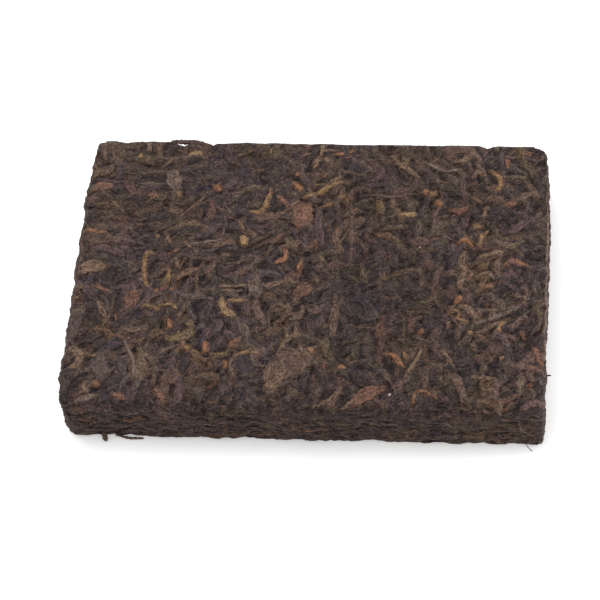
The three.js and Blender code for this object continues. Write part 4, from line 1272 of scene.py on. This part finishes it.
def bent_rod(context, points, width, colour):
    """A cylinder cut into steps and bent through the points, knobbly and thickest in its middle."""
    line = through(points, 0.6)[::3]
    count = len(line)
    bpy.ops.object.select_all(action="DESELECT")
    bpy.ops.mesh.primitive_cylinder_add(vertices=8, radius=1.0, depth=1.0)
    rod = context.active_object
    for step in range(1, count):
        in_edit_mode(bpy.ops.mesh.bisect, plane_co=(0, 0, -0.5 + step / count), plane_no=(0, 0, 1))
    for vertex in rod.data.vertices:
        share = vertex.co.z + 0.5
        u = share * (count - 1)
        i = min(int(u), count - 2)
        p, q = line[i], line[i + 1]
        centre, way = p + (q - p) * (u - i), (q - p)[:2] / np.linalg.norm((q - p)[:2])
        thick = width / 2 * (0.72 + 0.28 * math.sin(math.pi * share) + 0.1 * math.sin(i * 1.9))
        around = math.atan2(vertex.co.y, vertex.co.x)
        thick *= 0.72 + 0.5 * float(lattice_noise(u * 0.9 + width * 7, around * 2.0, 1.0, 31))
        side, rise = vertex.co.x * thick, vertex.co.y * thick * 0.85
        place = (centre[0] - way[1] * side + SHIFT[0], centre[1] + way[0] * side + SHIFT[1], centre[2] + rise)
        vertex.co = [value * MM for value in place]
    tone = rod.data.color_attributes.new("leaf_tone", "FLOAT_COLOR", "POINT")
    tone.data.foreach_set("color", [*colour, 1.0] * len(rod.data.vertices))
    # painted shade: the rods are darkened a little, like leaves lying in the open
    painted_shade_open = rod.data.attributes.new("painted_shade_openness", "FLOAT", "POINT")
    painted_shade_open.data.foreach_set("value", [ROD_PAINTED_SHADE_OPENNESS] * len(rod.data.vertices))
    return rod


def along_leaf_map(mesh):
    """Lays the streaks of the stem finish along the rods."""
    while mesh.uv_layers:
        mesh.uv_layers.remove(mesh.uv_layers[0])
    uv = mesh.uv_layers.new(name="along_leaf")
    for loop in mesh.loops:
        co = mesh.vertices[loop.vertex_index].co
        uv.data[loop.index].uv = (co.x / MM, co.z / MM * 2 + co.y / MM)


class TEA_OT_loose_rods(bpy.types.Operator):
    """Stem that loops out past the back edge, the bits at the foot of the front wall and a twig end"""

    bl_idname = "tea.loose_rods"
    bl_label = "Loop stem, foot bits and twig"

    def execute(self, context):
        brick = pressed_brick(context)
        made = [bent_rod(context, points, width, brick.leaf_colour(name)) for points, width, name in RODS]
        bpy.ops.object.select_all(action="DESELECT")
        for rod in made:
            rod.select_set(True)
        context.view_layer.objects.active = made[0]
        bpy.ops.object.join()
        stem = context.active_object
        stem.name = stem.data.name = "loose_rods"
        in_edit_mode(bpy.ops.mesh.normals_make_consistent, inside=False)
        bpy.ops.object.shade_smooth()
        along_leaf_map(stem.data)
        stem.data.materials.clear()
        stem.data.materials.append(finish_of("stem"))
        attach(stem, "root")
        return {"FINISHED"}


def floor_finish(colour, glow):
    """Pale, faintly grained and faintly glowing."""
    material = bpy.data.materials.new("pale_floor")
    material.use_nodes = True
    tree = material.node_tree
    link = tree.links.new
    shader = tree.nodes["Principled BSDF"]
    where = node(tree, "ShaderNodeTexCoord")
    grain = node(tree, "ShaderNodeTexNoise", Scale=240.0, Detail=3.0)
    link(where.outputs["Object"], grain.inputs["Vector"])
    ramp = node(tree, "ShaderNodeMapRange", To_Min=0.985, To_Max=1.0)
    link(grain.outputs["Fac"], ramp.inputs["Value"])
    tint = node(tree, "ShaderNodeVectorMath", operation="SCALE")
    tint.inputs[0].default_value = colour
    link(ramp.outputs["Result"], tint.inputs["Scale"])
    link(tint.outputs["Vector"], shader.inputs["Base Color"])
    link(tint.outputs["Vector"], shader.inputs["Emission Color"])
    shader.inputs["Roughness"].default_value = 0.9
    shader.inputs["Emission Strength"].default_value = glow
    return material


def hang_lamp(context, name, power, size, place):
    """A round soft lamp that points at the origin."""
    light = bpy.data.lights.new(name, "AREA")
    light.energy, light.shape, light.size = power, "DISK", size
    lamp = bpy.data.objects.new(name, light)
    lamp.location = place
    lamp.rotation_euler = (-Vector(place)).to_track_quat("-Z", "Y").to_euler()
    context.scene.collection.objects.link(lamp)


def set_camera(context):
    camera = bpy.data.cameras.new("camera")
    camera.sensor_width, camera.lens = SENSOR, LENS
    camera.clip_start, camera.clip_end = 0.01, 20.0
    eye = bpy.data.objects.new("camera", camera)
    tip, turn, roll = (math.radians(a) for a in (VIEW_ELEVATION, VIEW_TURN, VIEW_ROLL))
    back = Vector((math.sin(turn) * math.cos(tip), -math.cos(turn) * math.cos(tip), math.sin(tip)))
    right = (-back).cross(Vector((0, 0, 1))).normalized()
    up = right.cross(-back)
    rolled_right = right * math.cos(roll) + up * math.sin(roll)
    rolled_up = up * math.cos(roll) - right * math.sin(roll)
    target = Vector(VIEW_TARGET) + Vector((SHIFT[0], SHIFT[1], 0))
    turned = Matrix((rolled_right, rolled_up, back)).transposed().to_4x4()
    eye.matrix_world = Matrix.Translation((target + back * VIEW_DISTANCE) * MM) @ turned
    context.scene.collection.objects.link(eye)
    context.scene.camera = eye


class TEA_OT_stage(bpy.types.Operator):
    """Pale floor, soft light and the camera"""

    bl_idname = "tea.stage"
    bl_label = "Floor, light and camera"

    def execute(self, context):
        sizes = context.scene.tea_stage
        bpy.ops.object.select_all(action="DESELECT")
        bpy.ops.mesh.primitive_plane_add(size=sizes.floor_size, location=(0, 0, 0))
        floor = context.active_object
        floor.name = floor.data.name = "pale_floor"
        floor.data.materials.append(floor_finish(sizes.floor_colour, sizes.floor_glow))

        world = bpy.data.worlds.new("studio")
        world.use_nodes = True
        background = world.node_tree.nodes["Background"]
        background.inputs["Color"].default_value = (1, 1, 1, 1)
        background.inputs["Strength"].default_value = sizes.sky
        context.scene.world = world

        hang_lamp(context, "key", sizes.key_power, sizes.key_size, KEY_PLACE)
        hang_lamp(context, "rim", sizes.rim_power, RIM_SIZE, RIM_PLACE)
        set_camera(context)
        context.scene.view_settings.view_transform = "Standard"
        return {"FINISHED"}


PIECES = (TEA_OT_core, TEA_OT_dark_leaves, TEA_OT_brown_leaves, TEA_OT_crushed_leaves, TEA_OT_open_leaves,
          TEA_OT_strands, TEA_OT_stems, TEA_OT_buds, TEA_OT_wall_layers, TEA_OT_underside, TEA_OT_loose_rods,
          TEA_OT_stage)


class TEA_PT_panel(bpy.types.Panel):
    """Lists the pieces of the brick"""

    bl_idname = "TEA_PT_panel"
    bl_label = "Tea Brick"
    bl_space_type = "VIEW_3D"
    bl_region_type = "UI"
    bl_category = "Tea Brick"

    def draw(self, context):
        for group in (context.scene.tea_sizes, context.scene.tea_stage):
            for name in group.__annotations__:
                self.layout.prop(group, name)
        for piece in PIECES:
            self.layout.operator(piece.bl_idname)


CLASSES = (TeaSizes, StageSizes) + PIECES + (TEA_PT_panel,)


def register():
    for cls in CLASSES:
        bpy.utils.register_class(cls)
    bpy.types.Scene.tea_sizes = bpy.props.PointerProperty(type=TeaSizes)
    bpy.types.Scene.tea_stage = bpy.props.PointerProperty(type=StageSizes)


def unregister():
    del bpy.types.Scene.tea_stage
    del bpy.types.Scene.tea_sizes
    for cls in reversed(CLASSES):
        bpy.utils.unregister_class(cls)


def main():
    register()
    for piece in PIECES:
        group, name = piece.bl_idname.split(".")
        getattr(getattr(bpy.ops, group), name)()


if __name__ == "__main__":
    main()
